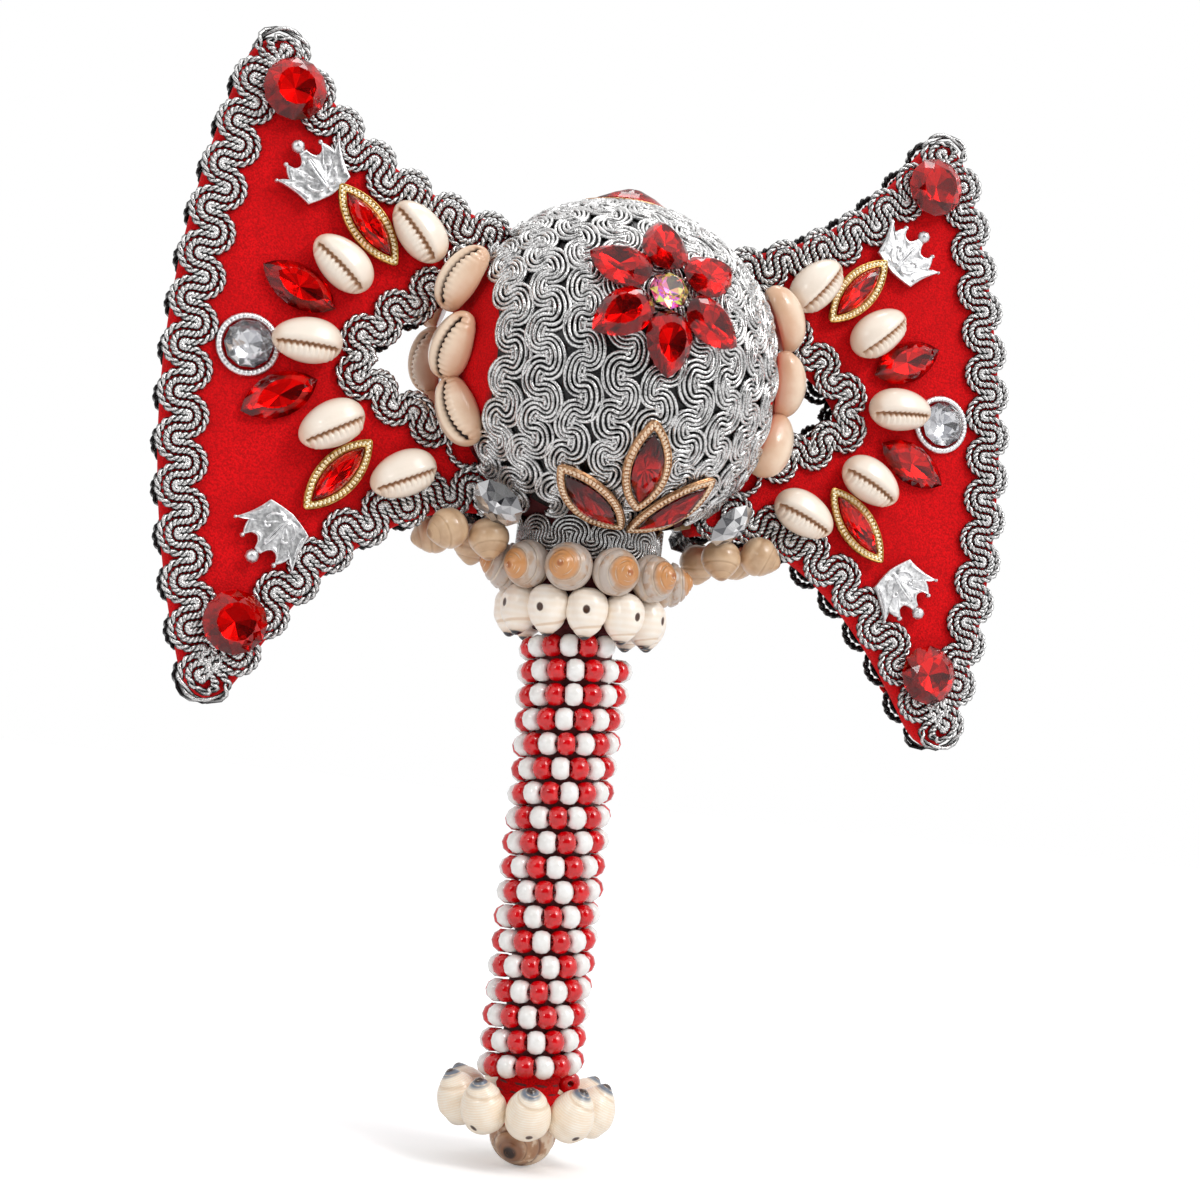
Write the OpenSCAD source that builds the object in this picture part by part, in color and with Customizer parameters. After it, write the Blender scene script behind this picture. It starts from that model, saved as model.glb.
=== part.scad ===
// Beaded maraca with a double-axe head.
// A hollow ball with loose seeds sits on a bead-wound handle, and carries an axe blade on each side.
// The origin is the middle of the beaded grip, on the handle's axis. Z runs up the handle to the ball,
// X runs across the two blades, and the front of the object faces -Y.

/* [Handle] */
// Diameter of the stick under the beads
stick_d = 16.4; // [12:0.2:24]
// How much thicker the stick is at the neck than in the grip
neck_swell = 3.6; // [0:0.2:8]
// Length over which the stick swells
swell_l = 38; // [15:1:60]
// Length of the beaded grip
grip_l = 120; // [80:1:150]
// Length of stick below the grip
stick_tail = 11; // [6:0.5:20]

/* [Bead winding] */
// Diameter of a bead
bead_d = 5.9; // [4:0.1:8]
// Length of a bead along its hole
bead_l = 3.8; // [2.5:0.1:5]
// Diameter of a bead's hole
bead_bore_d = 2; // [1.6:0.1:2.6]
// Spacing of the beads along the thread
bead_step = 4.85; // [4.6:0.05:7]
// Spacing of the rows along the handle
row_pitch = 6.4; // [5.6:0.1:9]
// Diameter of the thread
thread_d = 0.9; // [0.4:0.1:1]

/* [Ball] */
// Diameter of the ball over its cloth
ball_d = 92; // [80:1:110]
// Height of the neck, from the grip to the ball
neck_l = 26; // [22:1:40]
// Lean of the head on the handle, in degrees
head_lean = 3; // [0:0.5:6]
// Wall of the gourd
gourd_wall = 4; // [2:0.5:8]
// Thickness of the red cloth
cloth_t = 0.8; // [0.4:0.1:2]
// Angle that one column of braid covers on the ball, in degrees
column_turn = 12.12; // [7:0.01:12.6]
// Thickness of the braid on the ball
column_t = 2.2; // [1:0.1:4]
// Height of the braid ring round the neck
neck_braid_h = 3.6; // [2:0.2:6]

/* [Seeds] */
// Diameter of a loose seed
seed_d = 6; // [3:0.5:8]
// Distance of the inner seeds from the handle's axis
seed_inner_r = 14.5; // [13:0.5:17]
// Distance of the outer seeds from the handle's axis
seed_outer_r = 22; // [20:0.5:26]

/* [Blades] */
// Drop of the blades' middle below the ball's centre
blade_drop = 6; // [0:0.5:12]
// Thickness of the blade's board
board_t = 6; // [3:0.5:12]
// How far the braid reaches past the blade's cloth
braid_overhang = 2.4; // [0:0.2:4]
// Width of the braid along the blade's edge
edge_braid_w = 14; // [8:0.5:16]
// Width of the braid around the window
window_braid_w = 12; // [6:0.5:13]
// Thickness of the blade's braid
blade_braid_t = 1.9; // [1:0.1:4]
// Length of one wave of the blade's braid
wave_l = 12; // [8:0.5:20]
// Depth of the scallops along the braid's outer edge
scallop_depth = 2; // [0:0.2:4]
// Sharp upper corner of a blade: in from its widest reach, and up from its middle
upper_corner_place = [18, 97]; // [0:0.5:140]
// Sharp lower corner of a blade: in from its widest reach, and down from its middle
lower_corner_place = [12.5, 104]; // [0:0.5:140]
// How far each corner is rounded along its two edges
corner_round = 16; // [10:1:34]
// Widest reach of a blade from the axis
blade_reach = 118; // [112:1:140]
// Point of the window: in from the blade's widest reach, and up from its middle
window_point_place = [45, 1]; // [-5:0.5:60]
// How far the window's point is rounded along its two sides
window_round = 12; // [4:1:20]

/* [Stones and charms] */
// Diameter of the round red stone at each blade tip
tip_stone_d = 16.8; // [10:0.2:20]
// Height of the round red stone
tip_stone_h = 5.4; // [3:0.1:8]
// Diameter of the clear stone's silver rim
rim_d = 16.8; // [12:0.2:18]
// Diameter of the clear stone
clear_stone_d = 12.8; // [8:0.2:13.6]
// Length of a large red pointed stone
large_stone_l = 22; // [14:0.5:24]
// Width of a large red pointed stone
large_stone_w = 11.5; // [6:0.5:12]
// Length of a gold frame
frame_l = 26; // [18:0.5:28]
// Width of a gold frame
frame_w = 10.8; // [8:0.2:11.4]
// Length of a gold frame on the ball, as a share of the ball's diameter
ball_frame_l_share = 0.304; // [0.22:0.001:0.315]
// Width of a gold frame on the ball, as a share of the ball's diameter
ball_frame_w_share = 0.137; // [0.09:0.001:0.141]
// Breadth of a gold frame's rail
frame_rail = 2; // [1:0.1:3]
// Thickness of frames and rims
frame_t = 1.6; // [0.8:0.1:1.8]
// Height of a pointed stone
pointed_stone_h = 4.4; // [3:0.1:7]
// Length of a flower's petal stone
petal_l = 17; // [10:0.5:18]
// Width of a flower's petal stone
petal_w = 11; // [6:0.2:11.2]
// Diameter of a flower's centre stone
centre_stone_d = 10; // [6:0.2:10.6]
// Length of a clear oval stone
oval_l = 14; // [8:0.5:16]
// Width of a clear oval stone
oval_w = 10; // [6:0.5:12]
// Height of a crown charm
crown_h = 15; // [8:0.5:16]
// Thickness of a crown charm
crown_t = 1.4; // [0.6:0.1:2.5]

/* [Shells] */
// Length of a cowrie
cowrie_l = 18.6; // [12:0.2:19]
// Width of a cowrie
cowrie_w = 12; // [8:0.2:12.4]
// Length of a cowrie at the ball's side, as a share of the ball's diameter
side_cowrie_l_share = 0.189; // [0.13:0.001:0.195]
// Width of a cowrie at the ball's side, as a share of the ball's diameter
side_cowrie_w_share = 0.124; // [0.09:0.001:0.126]
// Height of a cowrie
cowrie_h = 8.4; // [5:0.2:9.4]
// Width of a cowrie's slit
slit_w = 1.3; // [0.6:0.1:2]
// Shells in the turban ring and in the whelk ring
neck_shell_count = 11; // [6:1:11]
// Radius of a turban shell
turban_r = 6.2; // [4:0.1:6.4]
// Radius of a whelk shell
whelk_r = 5.2; // [3:0.1:5.3]
// Shells in the ring at the handle's end
end_shell_count = 9; // [5:1:9]
// Radius of a shell at the handle's end
end_shell_r = 5.9; // [4:0.1:6.1]
// Radius of the snail shell that caps the handle
cap_shell_r = 9; // [6:0.5:11]
// Radius of a snail shell under a blade's root
root_shell_r = 5.4; // [3:0.1:5.6]

/* [Hidden] */
$fn = 48;

// Room left for glue between pieces that sit on each other
glue_gap = 0.1;
// Room round a seed and between pieces that move past each other
seed_gap = 0.3;
// Overshoot of a cut past the solid that it cuts
past = 1;
// Share of a stone's height below its girdle, and share of its width left at its table
girdle_share = 0.35;
table_share = 0.52;
// How much broader a frame's rail is at its points than along its sides
point_rail = 1.6;

// Handle
stick_r = stick_d / 2;
neck_r = stick_r + neck_swell / 2;
grip_top = grip_l / 2;
stick_foot = -grip_top - stick_tail;
bead_r = bead_d / 2;
wind_low = -grip_top + bead_r;
wind_turns = (grip_l - bead_d) / row_pitch;

// Ball, with as many columns of braid as there are nodes for them
column_count = 9;
ball_r = ball_d / 2;
ball_z = grip_top + neck_l + ball_r;
gourd_r = ball_r - cloth_t - glue_gap;
cavity_r = gourd_r - gourd_wall;
column_low_r = ball_r + glue_gap;
column_top_r = column_low_r + column_t;
column_step = column_turn + 2 * asin(glue_gap / column_top_r);
stone_seat_r = column_top_r + glue_gap;

// Neck: the collar carries a ring of braid, the turban ring and, between its shells, the whelk ring
turban_drop = 3.6;
turban_back = 0.5;
turban_first = 4;
turban_ring_r = turban_r / sin(180 / neck_shell_count) + glue_gap;
turban_z = ball_z - ball_r - turban_r - turban_drop;
collar_top_r = turban_ring_r - turban_back * turban_r - glue_gap;
collar_top_z = ball_z - 0.7 * ball_r;
neck_braid_r = collar_top_r + glue_gap + blade_braid_t;
neck_braid_foot = turban_z + turban_r + glue_gap;
whelk_nest = 0.2;
whelk_first = turban_first + 180 / neck_shell_count;
whelk_ring_r = whelk_r / sin(180 / neck_shell_count) + glue_gap;
whelk_z = turban_z - turban_r - whelk_r + whelk_nest;
collar_low_r = whelk_ring_r - whelk_r - glue_gap;
collar_foot = grip_top + seed_gap;
collar_step_z = whelk_z + 0.9 * whelk_r;

// Handle's end: the shells lean outwards, so each one's body lies inside the ring of their middles
end_tilt = 30;
end_first = -14;
whelk_body = 0.25;
end_body_in = whelk_body * end_shell_r * sin(end_tilt);
end_body_r = end_shell_r / sin(180 / end_shell_count) + glue_gap;
end_ring_r = end_body_r + end_body_in;
end_ring_z = -grip_top - end_shell_r - seed_gap;
end_collar_r = end_body_r - end_shell_r - glue_gap;

// Blades: half thicknesses from the middle of the board outwards
cloth_in = board_t / 2 + glue_gap;
cloth_out = cloth_in + cloth_t;
braid_seat = cloth_out + glue_gap;
braid_top = braid_seat + blade_braid_t;
shell_seat = braid_top + glue_gap;
board_inset = braid_overhang + cloth_t + glue_gap;

// Corners of the lines that a blade's three edges bend towards, on the right blade
upper_root = [22, 43];
upper_bend = [63, 46];
lower_bend = [61.5, -28];
lower_root = [24, -38];
upper_corner = [blade_reach - upper_corner_place[0], upper_corner_place[1]];
lower_tip = [blade_reach - lower_corner_place[0], -lower_corner_place[1]];
window_point = [blade_reach - window_point_place[0], window_point_place[1]];
tip_middle = (upper_corner + lower_tip) / 2;
outer_bend = [2 * blade_reach - tip_middle[0], tip_middle[1]];
window_upper = [30, 36];
window_lower = [30, -18.6];
blade_lines = [upper_root, upper_bend, upper_corner, outer_bend, lower_tip, lower_bend, lower_root];
window_lines = [window_upper, window_point, window_lower];

// Places of the pieces on a blade's face: out from the axis, up from the blade's middle, and turn
cowrie_fan_centre = window_point + [-21, 3.5];
cowrie_fan_r = 32.8;
cowrie_fan_step = 40.5;
cowrie_turns = [47, 38, 0, -31, -27];
tip_stone_spots = [spot(upper_corner + [-7.4, -27], 0), spot(lower_tip + [-7.5, 34], 0)];
crown_spots = [spot(upper_corner + [-14, -46.8], -40), spot(lower_tip + [-15.3, 56.7], 220)];
large_stone_spots = [spot(window_point + [14.4, 17.8], 26), spot(window_point + [17.6, -11.2], -28)];
frame_spots = [spot(window_point + [-2.4, 36.2], 50), spot(window_point + [1, -30.4], -50)];
clear_stone_spots = [spot([blade_reach - 18.5, window_point[1] + 1.2], 0)];
root_shell_spots = [lower_root + [9, -4.4], lower_root + [20, -3]];

// Places of the pieces on the ball: turn round the handle from the front, rise over its middle, and tilt
flower_rise = 17;
flower_places = [[0, flower_rise], [180, flower_rise]];
petal_middle = 14.9;
ball_frame_l = ball_frame_l_share * ball_d;
ball_frame_w = ball_frame_w_share * ball_d;
neck_rise = -acos(neck_braid_r / stone_seat_r);
fan_places = [[0, neck_rise + 26.4, 4], [-22, neck_rise + 12.4, 36], [22, neck_rise + 12.4, -30]];
top_frame_place = [20, 82, 70];
ball_frame_places = [
  top_frame_place,
  for (turn = [0, 180]) for (place = fan_places) place + [turn, 0, 0]
];
side_cowrie_l = side_cowrie_l_share * ball_d;
side_cowrie_w = side_cowrie_w_share * ball_d;
side_cowrie_turn = 74.6;
side_cowrie_rises = [22, 1, -19.5];
side_cowrie_tilts = [12, 24, -8];
side_cowrie_seats = [stone_seat_r, ball_r + glue_gap, ball_r + glue_gap];
oval_places = [[-66, -46, 34], [66, -46, -34], [114, -46, 34], [-114, -46, -34]];

// A place on a blade's face with its turn
function spot(p, turn) = [p[0], p[1], turn];

// A point at distance d from p towards q
function toward(p, q, d) = p + d * (q - p) / norm(q - p);

// Unit vector to the right of the step from p to q
function right_of(p, q) = [q[1] - p[1], p[0] - q[0]] / norm(q - p);

// Points of a curve that leaves a for b and arrives at c from b, without its last point
function bend(a, b, c, n) = [
  for (i = [0:n - 1])
    let (t = i / n)
    (1 - t) * (1 - t) * a + 2 * t * (1 - t) * b + t * t * c
];

// A chain of lines moved sideways by d, to the right
function shift_chain(p, d) = [
  for (i = [0:len(p) - 1])
    let (a = right_of(p[max(i - 1, 0)], p[max(i, 1)]))
    let (b = right_of(p[min(i, len(p) - 2)], p[min(i + 1, len(p) - 1)]))
    p[i] + d * (a + b) / (1 + a * b)
];

// Outline of the right blade, moved inwards by d, with each corner rounded over the length cut
function blade_path(d, cut) =
  let (k = shift_chain(blade_lines, d))
  let (p = toward(k[2], k[1], cut), q = toward(k[2], k[3], cut))
  let (r = toward(k[4], k[3], cut), s = toward(k[4], k[5], cut))
  concat(bend(k[0], k[1], p, 12), bend(p, k[2], q, 10), bend(q, k[3], r, 20), bend(r, k[4], s, 10),
         bend(s, k[5], k[6], 12), [k[6]]);

// Outline of the right blade's window, moved out into the blade by d, as far at the point as at its sides
function window_path(d) =
  let (k = shift_chain(window_lines, -d))
  let (half = acos(((k[0] - k[1]) * (k[2] - k[1])) / norm(k[0] - k[1]) / norm(k[2] - k[1])) / 2)
  let (cut = window_round + 2 * d * (1 / sin(half) - 1) / cos(half))
  let (p = toward(k[1], k[0], cut), q = toward(k[1], k[2], cut))
  concat([k[0]], bend(p, k[1], q, 12), [q, k[2]]);

// Lengths along a path, from its start to each of its points
function runs(p) = [
  for (i = 0, s = 0; i < len(p); i = i + 1, s = i < len(p) ? s + norm(p[i] - p[i - 1]) : s) s
];

// A path cut into scallops: one bump for each wave, cusps moved to the right by depth
function scallops(p, wave, depth) =
  let (s = runs(p), total = s[len(s) - 1], n = round(total / wave), steps = 6)
  let (tx = [for (i = [0:len(p) - 1]) [s[i], p[i][0]]], ty = [for (i = [0:len(p) - 1]) [s[i], p[i][1]]])
  [for (i = [0:n * steps])
     let (u = total * i / (n * steps), v = min(u + 0.5, total), w = v - 1)
     let (side = right_of([lookup(w, tx), lookup(w, ty)], [lookup(v, tx), lookup(v, ty)]))
     [lookup(u, tx), lookup(u, ty)] + side * depth * (1 - abs(sin(180 * i / steps)))];

// Outline of a stone with two pointed ends
function pointed(l, w, n) =
  let (r = (l * l / 4 + w * w / 4) / w, a = asin(l / 2 / r))
  [for (side = [1, -1]) for (i = [0:n - 1])
     let (t = a * (2 * i / n - 1)) side * [r * sin(t), r * cos(t) - r + w / 2]];

// Outline of a stone that is round at one end and pointed at the other, its point towards +Y
function pear(l, w, n) = [
  for (i = [0:n - 1])
    let (t = 360 * i / n)
    [w / 2 * sin(t) * pow(sin(t / 2), 0.55) * 1.13, l / 2 * cos(t)]
];

// Outline of an oval
function oval(l, w, n) = [for (i = [0:n - 1]) [l / 2 * cos(360 * i / n), w / 2 * sin(360 * i / n)]];

// Radius of the stick at height z
function stick_r_at(z) = lookup(z, [[grip_top - swell_l, stick_r], [grip_top, neck_r]]);

// Radius of the winding at height z, at the middle of the beads
function wind_r(z) = stick_r_at(z) + bead_r + glue_gap;

// Height of the winding after it has turned through angle a
function wind_z(a) = wind_low + row_pitch * a / 360;

// Angles of the beads along the thread, one bead_step apart
bead_angles = [
  for (a = 0; a <= 360 * wind_turns; a = a + bead_step / wind_r(wind_z(a)) * 180 / PI) a
];

// Points along the middle of the thread, 24 for each turn
thread_rings = 24;
thread_end_a = bead_angles[len(bead_angles) - 1];
thread_count = ceil(thread_end_a / 360 * thread_rings);
thread_angles = [for (i = [0:thread_count]) thread_end_a * i / thread_count];
function thread_point(a) = [wind_r(wind_z(a)) * cos(a), wind_r(wind_z(a)) * sin(a), wind_z(a)];
function thread_run(a) = let (d = thread_point(a + 0.1) - thread_point(a - 0.1)) d / norm(d);
thread_first = thread_point(0) - thread_d * thread_run(0);
thread_last = thread_point(thread_end_a) + thread_d * thread_run(thread_end_a);
thread_line = concat([thread_first], [for (a = thread_angles) thread_point(a)], [thread_last]);
thread_turns = concat([0], thread_angles, [thread_end_a]);

// Least gap of the thread to itself, from each point to the points of the next turn
thread_gap = min([
  for (i = [0:len(thread_line) - 1])
    for (j = [i + thread_rings / 2:min(i + 3 * thread_rings / 2, len(thread_line) - 1)])
      norm(thread_line[i] - thread_line[j])
]) - thread_d;
echo(thread_gap = thread_gap);

// Places a child in the head's frame: its origin at the ball's centre, leaning with the head
module on_head() {
  translate([0, 0, ball_z]) rotate([0, -head_lean, 0]) children();
}

// Places a child on one blade, drawn for the right one, with its origin at the blade's middle height
module on_blade(side) {
  on_head() mirror([side < 0 ? 1 : 0, 0, 0]) translate([0, 0, -blade_drop]) children();
}

// A child on the blade's front, and its mirror image on the back
module both_faces() {
  children();
  mirror([0, 1, 0]) children();
}

// A flat outline stood up in the blade's plane, from y = -near to y = -far
module upright(near, far) {
  translate([0, -near, 0]) rotate([90, 0, 0]) linear_extrude(far - near) children();
}

// A child laid on the blade's face at a spot, seat out from the blade's middle, its Z pointing away
module on_face(spot, seat) {
  translate([spot[0], -seat, spot[1]]) rotate([90, 0, 0]) rotate(spot[2]) children();
}

// A child on the ball: turned round the handle, raised, then moved along the ball towards a heading
module on_ball(turn, rise, heading, along, r) {
  on_head() rotate([0, 0, turn]) rotate([90 - rise, 0, 0])
    rotate(heading) rotate([-along / r * 180 / PI, 0, 0]) translate([0, 0, r]) children();
}

// A ring of copies round the handle's axis, each with its Y pointing inwards
module ring(count, r, z, first) {
  for (i = [0:count - 1]) rotate(first + 360 * i / count) translate([0, -r, z]) children();
}

// The ball's outside with room for glue, which the pieces that sit against it are cut by
module ball_seat() {
  translate([0, 0, ball_z]) sphere(ball_r + glue_gap, $fn = 96);
}

// Whole outline of a blade, moved inwards by d, closed inside the ball
module blade_flat(d, cut) {
  polygon(concat(blade_path(d, cut), [[0, blade_drop]]));
}

// Whole outline of a blade's window, moved out into the blade by d, closed inside the ball
module window_flat(d) {
  polygon(concat(window_path(d), [[0, blade_drop]]));
}

// A stone with a low girdle and a crown that narrows to a flat table
module cut_stone(outline, h) {
  linear_extrude(h * girdle_share) polygon(outline);
  translate([0, 0, h * girdle_share])
    linear_extrude(h * (1 - girdle_share), scale = table_share) polygon(outline);
}

// A round stone with a low girdle and a crown that narrows to a flat table
module round_stone(d, h) {
  cylinder(d = d, h = h * girdle_share);
  translate([0, 0, h * girdle_share]) cylinder(d1 = d, d2 = d * table_share, h = h * (1 - girdle_share));
}

// Outline of a frame's opening, smaller all round by gap
function frame_opening(l, w, gap) =
  pointed(l - 2 * point_rail * (frame_rail + gap), w - 2 * (frame_rail + gap), 10);

// A pointed frame round a stone
module pointed_frame(l, w) {
  linear_extrude(frame_t) difference() {
    polygon(pointed(l, w, 10));
    polygon(frame_opening(l, w, 0));
  }
}

// The stone inside a pointed frame
module framed_stone(l, w) {
  cut_stone(frame_opening(l, w, 2 * glue_gap), pointed_stone_h);
}

// A cowrie that lies along X on its flat back, its slit up
module cowrie(l, w) {
  steps = 10;
  outline = [
    for (i = [0:steps])
      let (u = 2 * i / steps - 1)
      [w / 2 * sqrt(1 - u * u) * (1 - 0.1 * u), l / 2 * u]
  ];
  difference() {
    translate([0, 0, cowrie_h - w / 2]) rotate([0, 90, 0]) rotate_extrude() polygon(outline);
    translate([0, 0, -w / 2]) cube([2 * l, 2 * w, w], center = true);
    translate([0, 0, cowrie_h]) rotate(4) cube([0.8 * l, slit_w, 2 * slit_w], center = true);
  }
}

// A turban shell, its spire towards +Z and its mouth cut flat
module turban(r) {
  intersection() {
    union() {
      sphere(r);
      translate([0, 0, 0.62 * r]) sphere(0.68 * r);
      translate([0, 0, 1.1 * r]) sphere(0.34 * r);
    }
    translate([-2 * r, -2 * r, -turban_back * r]) cube([4 * r, 4 * r, 4 * r]);
  }
}

// A whelk shell, its spire towards -Z, with the drilled hole it was strung by on its front
module whelk(r) {
  difference() {
    union() {
      translate([0, 0, whelk_body * r]) sphere(r);
      translate([0, 0, -0.6 * r]) sphere(0.7 * r);
      translate([0, 0, -1.15 * r]) sphere(0.36 * r);
    }
    translate([0.1 * r, -r, 0.1 * r]) rotate([90, 0, 0]) cylinder(r = 0.17 * r, h = r, center = true);
  }
}

// Copies of a bead along the thread, every second one from first
module beads(first) {
  for (i = [first:2:len(bead_angles) - 1]) {
    a = bead_angles[i];
    slope = asin(thread_run(a)[2]);
    rotate(a) translate([wind_r(wind_z(a)), 0, wind_z(a)]) rotate([slope - 90, 0, 0]) difference() {
      intersection() {
        sphere(bead_r);
        cube([bead_d, bead_d, bead_l], center = true);
      }
      cylinder(d = bead_bore_d, h = bead_l + past, center = true);
    }
  }
}

// One quarter of the loose seeds, which lie on the bottom of the gourd's hollow
module seeds(turn) {
  reach = cavity_r - seed_d / 2 - seed_gap;
  color("peru") for (row = [[seed_inner_r, 45, 2], [seed_outer_r, 30, 3]]) for (i = [0:row[2] - 1]) {
    rotate(turn + row[1] * (i - (row[2] - 1) / 2))
      translate([0, -row[0], ball_z - sqrt(reach * reach - row[0] * row[0])]) sphere(seed_d / 2);
  }
}

// Handle
module handle_stick() {
  top = ball_z + sqrt(cavity_r * cavity_r - neck_r * neck_r) - glue_gap;
  color("burlywood") {
    translate([0, 0, stick_foot]) cylinder(r = stick_r, h = grip_l + stick_tail - swell_l);
    translate([0, 0, grip_top - swell_l]) cylinder(r1 = stick_r, r2 = neck_r, h = swell_l);
    translate([0, 0, grip_top]) cylinder(r = neck_r, h = top - grip_top);
  }
}
module end_collar() {
  color("firebrick") translate([0, 0, stick_foot]) difference() {
    cylinder(r = end_collar_r, h = stick_tail - glue_gap);
    translate([0, 0, -past]) cylinder(r = stick_r + glue_gap, h = stick_tail + 2 * past);
  }
}
module bead_thread() {
  sides = 6;
  last = len(thread_line) - 1;
  points = [
    for (i = [0:last])
      let (a = thread_turns[i], out = [cos(a), sin(a), 0], up = cross(out, thread_run(a)))
      for (k = [0:sides - 1]) thread_line[i] + thread_d / 2 * (cos(60 * k) * out + sin(60 * k) * up)
  ];
  walls = [
    for (i = [0:last - 1]) for (k = [0:sides - 1])
      let (a = i * sides + k, b = i * sides + (k + 1) % sides)
      each [[a, a + sides, b], [b, a + sides, b + sides]]
  ];
  start = [for (k = [1:sides - 2]) [0, k, k + 1]];
  finish = [for (k = [1:sides - 2]) [last * sides, last * sides + k + 1, last * sides + k]];
  color("white") polyhedron(points, concat(walls, start, finish));
}
module red_beads() {
  color("crimson") beads(0);
}
module white_beads() {
  color("white") beads(1);
}
module end_ring_shells() {
  color("antiquewhite") ring(end_shell_count, end_ring_r, end_ring_z, end_first)
    rotate([end_tilt, 0, 0]) mirror([0, 0, 1]) whelk(end_shell_r);
}
module end_cap_shell() {
  r = cap_shell_r;
  color("rosybrown") difference() {
    translate([0, 0, stick_foot - 0.3 * r]) {
      sphere(r);
      translate([-0.35 * r, -0.5 * r, -0.3 * r]) sphere(0.5 * r);
    }
    translate([-2 * r, -2 * r, stick_foot - glue_gap]) cube(4 * r);
  }
}

// Neck
module neck_collar() {
  color("firebrick") difference() {
    rotate_extrude() polygon([
      [neck_r + glue_gap, collar_foot],
      [collar_low_r, collar_foot],
      [collar_low_r, collar_step_z],
      [collar_top_r, turban_z - 0.4 * turban_r],
      [collar_top_r, collar_top_z],
      [neck_r + glue_gap, collar_top_z]
    ]);
    ball_seat();
  }
}
module neck_braid() {
  color("silver") difference() {
    translate([0, 0, neck_braid_foot]) cylinder(r = neck_braid_r, h = neck_braid_h);
    cylinder(r = collar_top_r + glue_gap, h = ball_z);
    ball_seat();
  }
}
module turban_shells() {
  color("tan") ring(neck_shell_count, turban_ring_r, turban_z, turban_first)
    rotate([90, 0, 0]) turban(turban_r);
}
module whelk_shells() {
  color("antiquewhite") ring(neck_shell_count, whelk_ring_r, whelk_z, whelk_first) whelk(whelk_r);
}
module root_snail_shells() {
  seat = shell_seat + turban_back * root_shell_r;
  color("rosybrown") for (side = [-1, 1]) on_blade(side) both_faces() for (place = root_shell_spots)
    translate([place[0], -seat, place[1]]) rotate([90, 0, 0]) turban(root_shell_r);
}

// Ball
module gourd_shell() {
  color("burlywood") difference() {
    translate([0, 0, ball_z]) sphere(gourd_r, $fn = 96);
    translate([0, 0, ball_z]) sphere(cavity_r, $fn = 96);
    translate([0, 0, ball_z - ball_r - past]) cylinder(r = neck_r + glue_gap, h = ball_r);
  }
}
module ball_cloth() {
  color("red") difference() {
    translate([0, 0, ball_z]) sphere(ball_r, $fn = 96);
    translate([0, 0, ball_z]) sphere(gourd_r + glue_gap, $fn = 96);
    translate([0, 0, ball_z - ball_r - past]) cylinder(r = neck_r + glue_gap, h = ball_r);
  }
}
module ball_braid(number) {
  middle = (number - (column_count + 1) / 2) * column_step;
  half = column_turn / 2;
  reach = 2 * ball_r;
  near_x = column_low_r * sin(max(abs(middle) - half, 0));
  far_r = column_low_r * cos(abs(middle) + half);
  // The run stops at the neck's braid and, where it crosses the blades' arms, at their faces
  neck_clear = neck_braid_r + ball_r * sin(head_lean) + glue_gap;
  foot = asin(sqrt(max(neck_clear * neck_clear - near_x * near_x, 0)) / far_r);
  arm = near_x > upper_root[0] ? asin(shell_seat / far_r) : 0;
  low = max(foot, arm);
  spans = arm > 0 ? [[low, 180 - arm], [180 + arm, 360 - low]] : [[low, 360 - low]];
  color("silver") on_head() rotate([0, 90, 0]) for (span = spans)
    rotate_extrude(angle = span[1] - span[0], start = span[0], $fn = 96) intersection() {
      difference() {
        circle(column_top_r, $fn = 96);
        circle(column_low_r, $fn = 96);
      }
      polygon([
        [0, 0],
        reach * [cos(middle - half), sin(middle - half)],
        reach * [cos(middle + half), sin(middle + half)]
      ]);
    }
}
module flower_petals(turn, rise) {
  color("red") for (i = [0:5]) on_ball(turn, rise, 60 * i, petal_middle, stone_seat_r)
    cut_stone(pear(petal_l, petal_w, 14), pointed_stone_h);
}
module flower_centres() {
  color("lavender") for (place = flower_places)
    on_ball(place[0], place[1], 0, 0, stone_seat_r) round_stone(centre_stone_d, pointed_stone_h);
}
module in_ball_frames() {
  for (place = ball_frame_places)
    on_ball(place[0], place[1], place[2], 0, stone_seat_r) rotate(90) children();
}
module ball_gold_frames() {
  color("goldenrod") in_ball_frames() pointed_frame(ball_frame_l, ball_frame_w);
}
module ball_framed_stones() {
  color("darkred") in_ball_frames() framed_stone(ball_frame_l, ball_frame_w);
}
module oval_stones() {
  color("gainsboro") for (place = oval_places)
    on_ball(place[0], place[1], place[2], 0, stone_seat_r)
      cut_stone(oval(oval_l, oval_w, 16), pointed_stone_h);
}
module side_cowries(side) {
  turns = [side * side_cowrie_turn, side * (180 - side_cowrie_turn)];
  color("bisque") for (turn = turns) for (i = [0:2])
    on_ball(turn, side_cowrie_rises[i], 90 + side * side_cowrie_tilts[i], 0, side_cowrie_seats[i])
      cowrie(side_cowrie_l, side_cowrie_w);
}

// Blades
module blade_board(side) {
  color("burlywood") difference() {
    on_blade(side) upright(-board_t / 2, board_t / 2) difference() {
      blade_flat(board_inset, corner_round);
      window_flat(board_inset);
    }
    ball_seat();
  }
}
module blade_cloth(side) {
  color("red") difference() {
    on_blade(side) difference() {
      upright(-cloth_out, cloth_out) difference() {
        blade_flat(braid_overhang, corner_round);
        window_flat(braid_overhang);
      }
      upright(-cloth_in, cloth_in) difference() {
        blade_flat(board_inset - glue_gap, corner_round);
        window_flat(board_inset - glue_gap);
      }
    }
    ball_seat();
  }
}
module edge_braid(side) {
  color("silver") difference() {
    on_blade(side) both_faces() upright(braid_seat, braid_top) difference() {
      polygon(concat(scallops(blade_path(0, corner_round), wave_l, scallop_depth), [[0, blade_drop]]));
      blade_flat(edge_braid_w, corner_round / 4);
    }
    ball_seat();
  }
}
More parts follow.
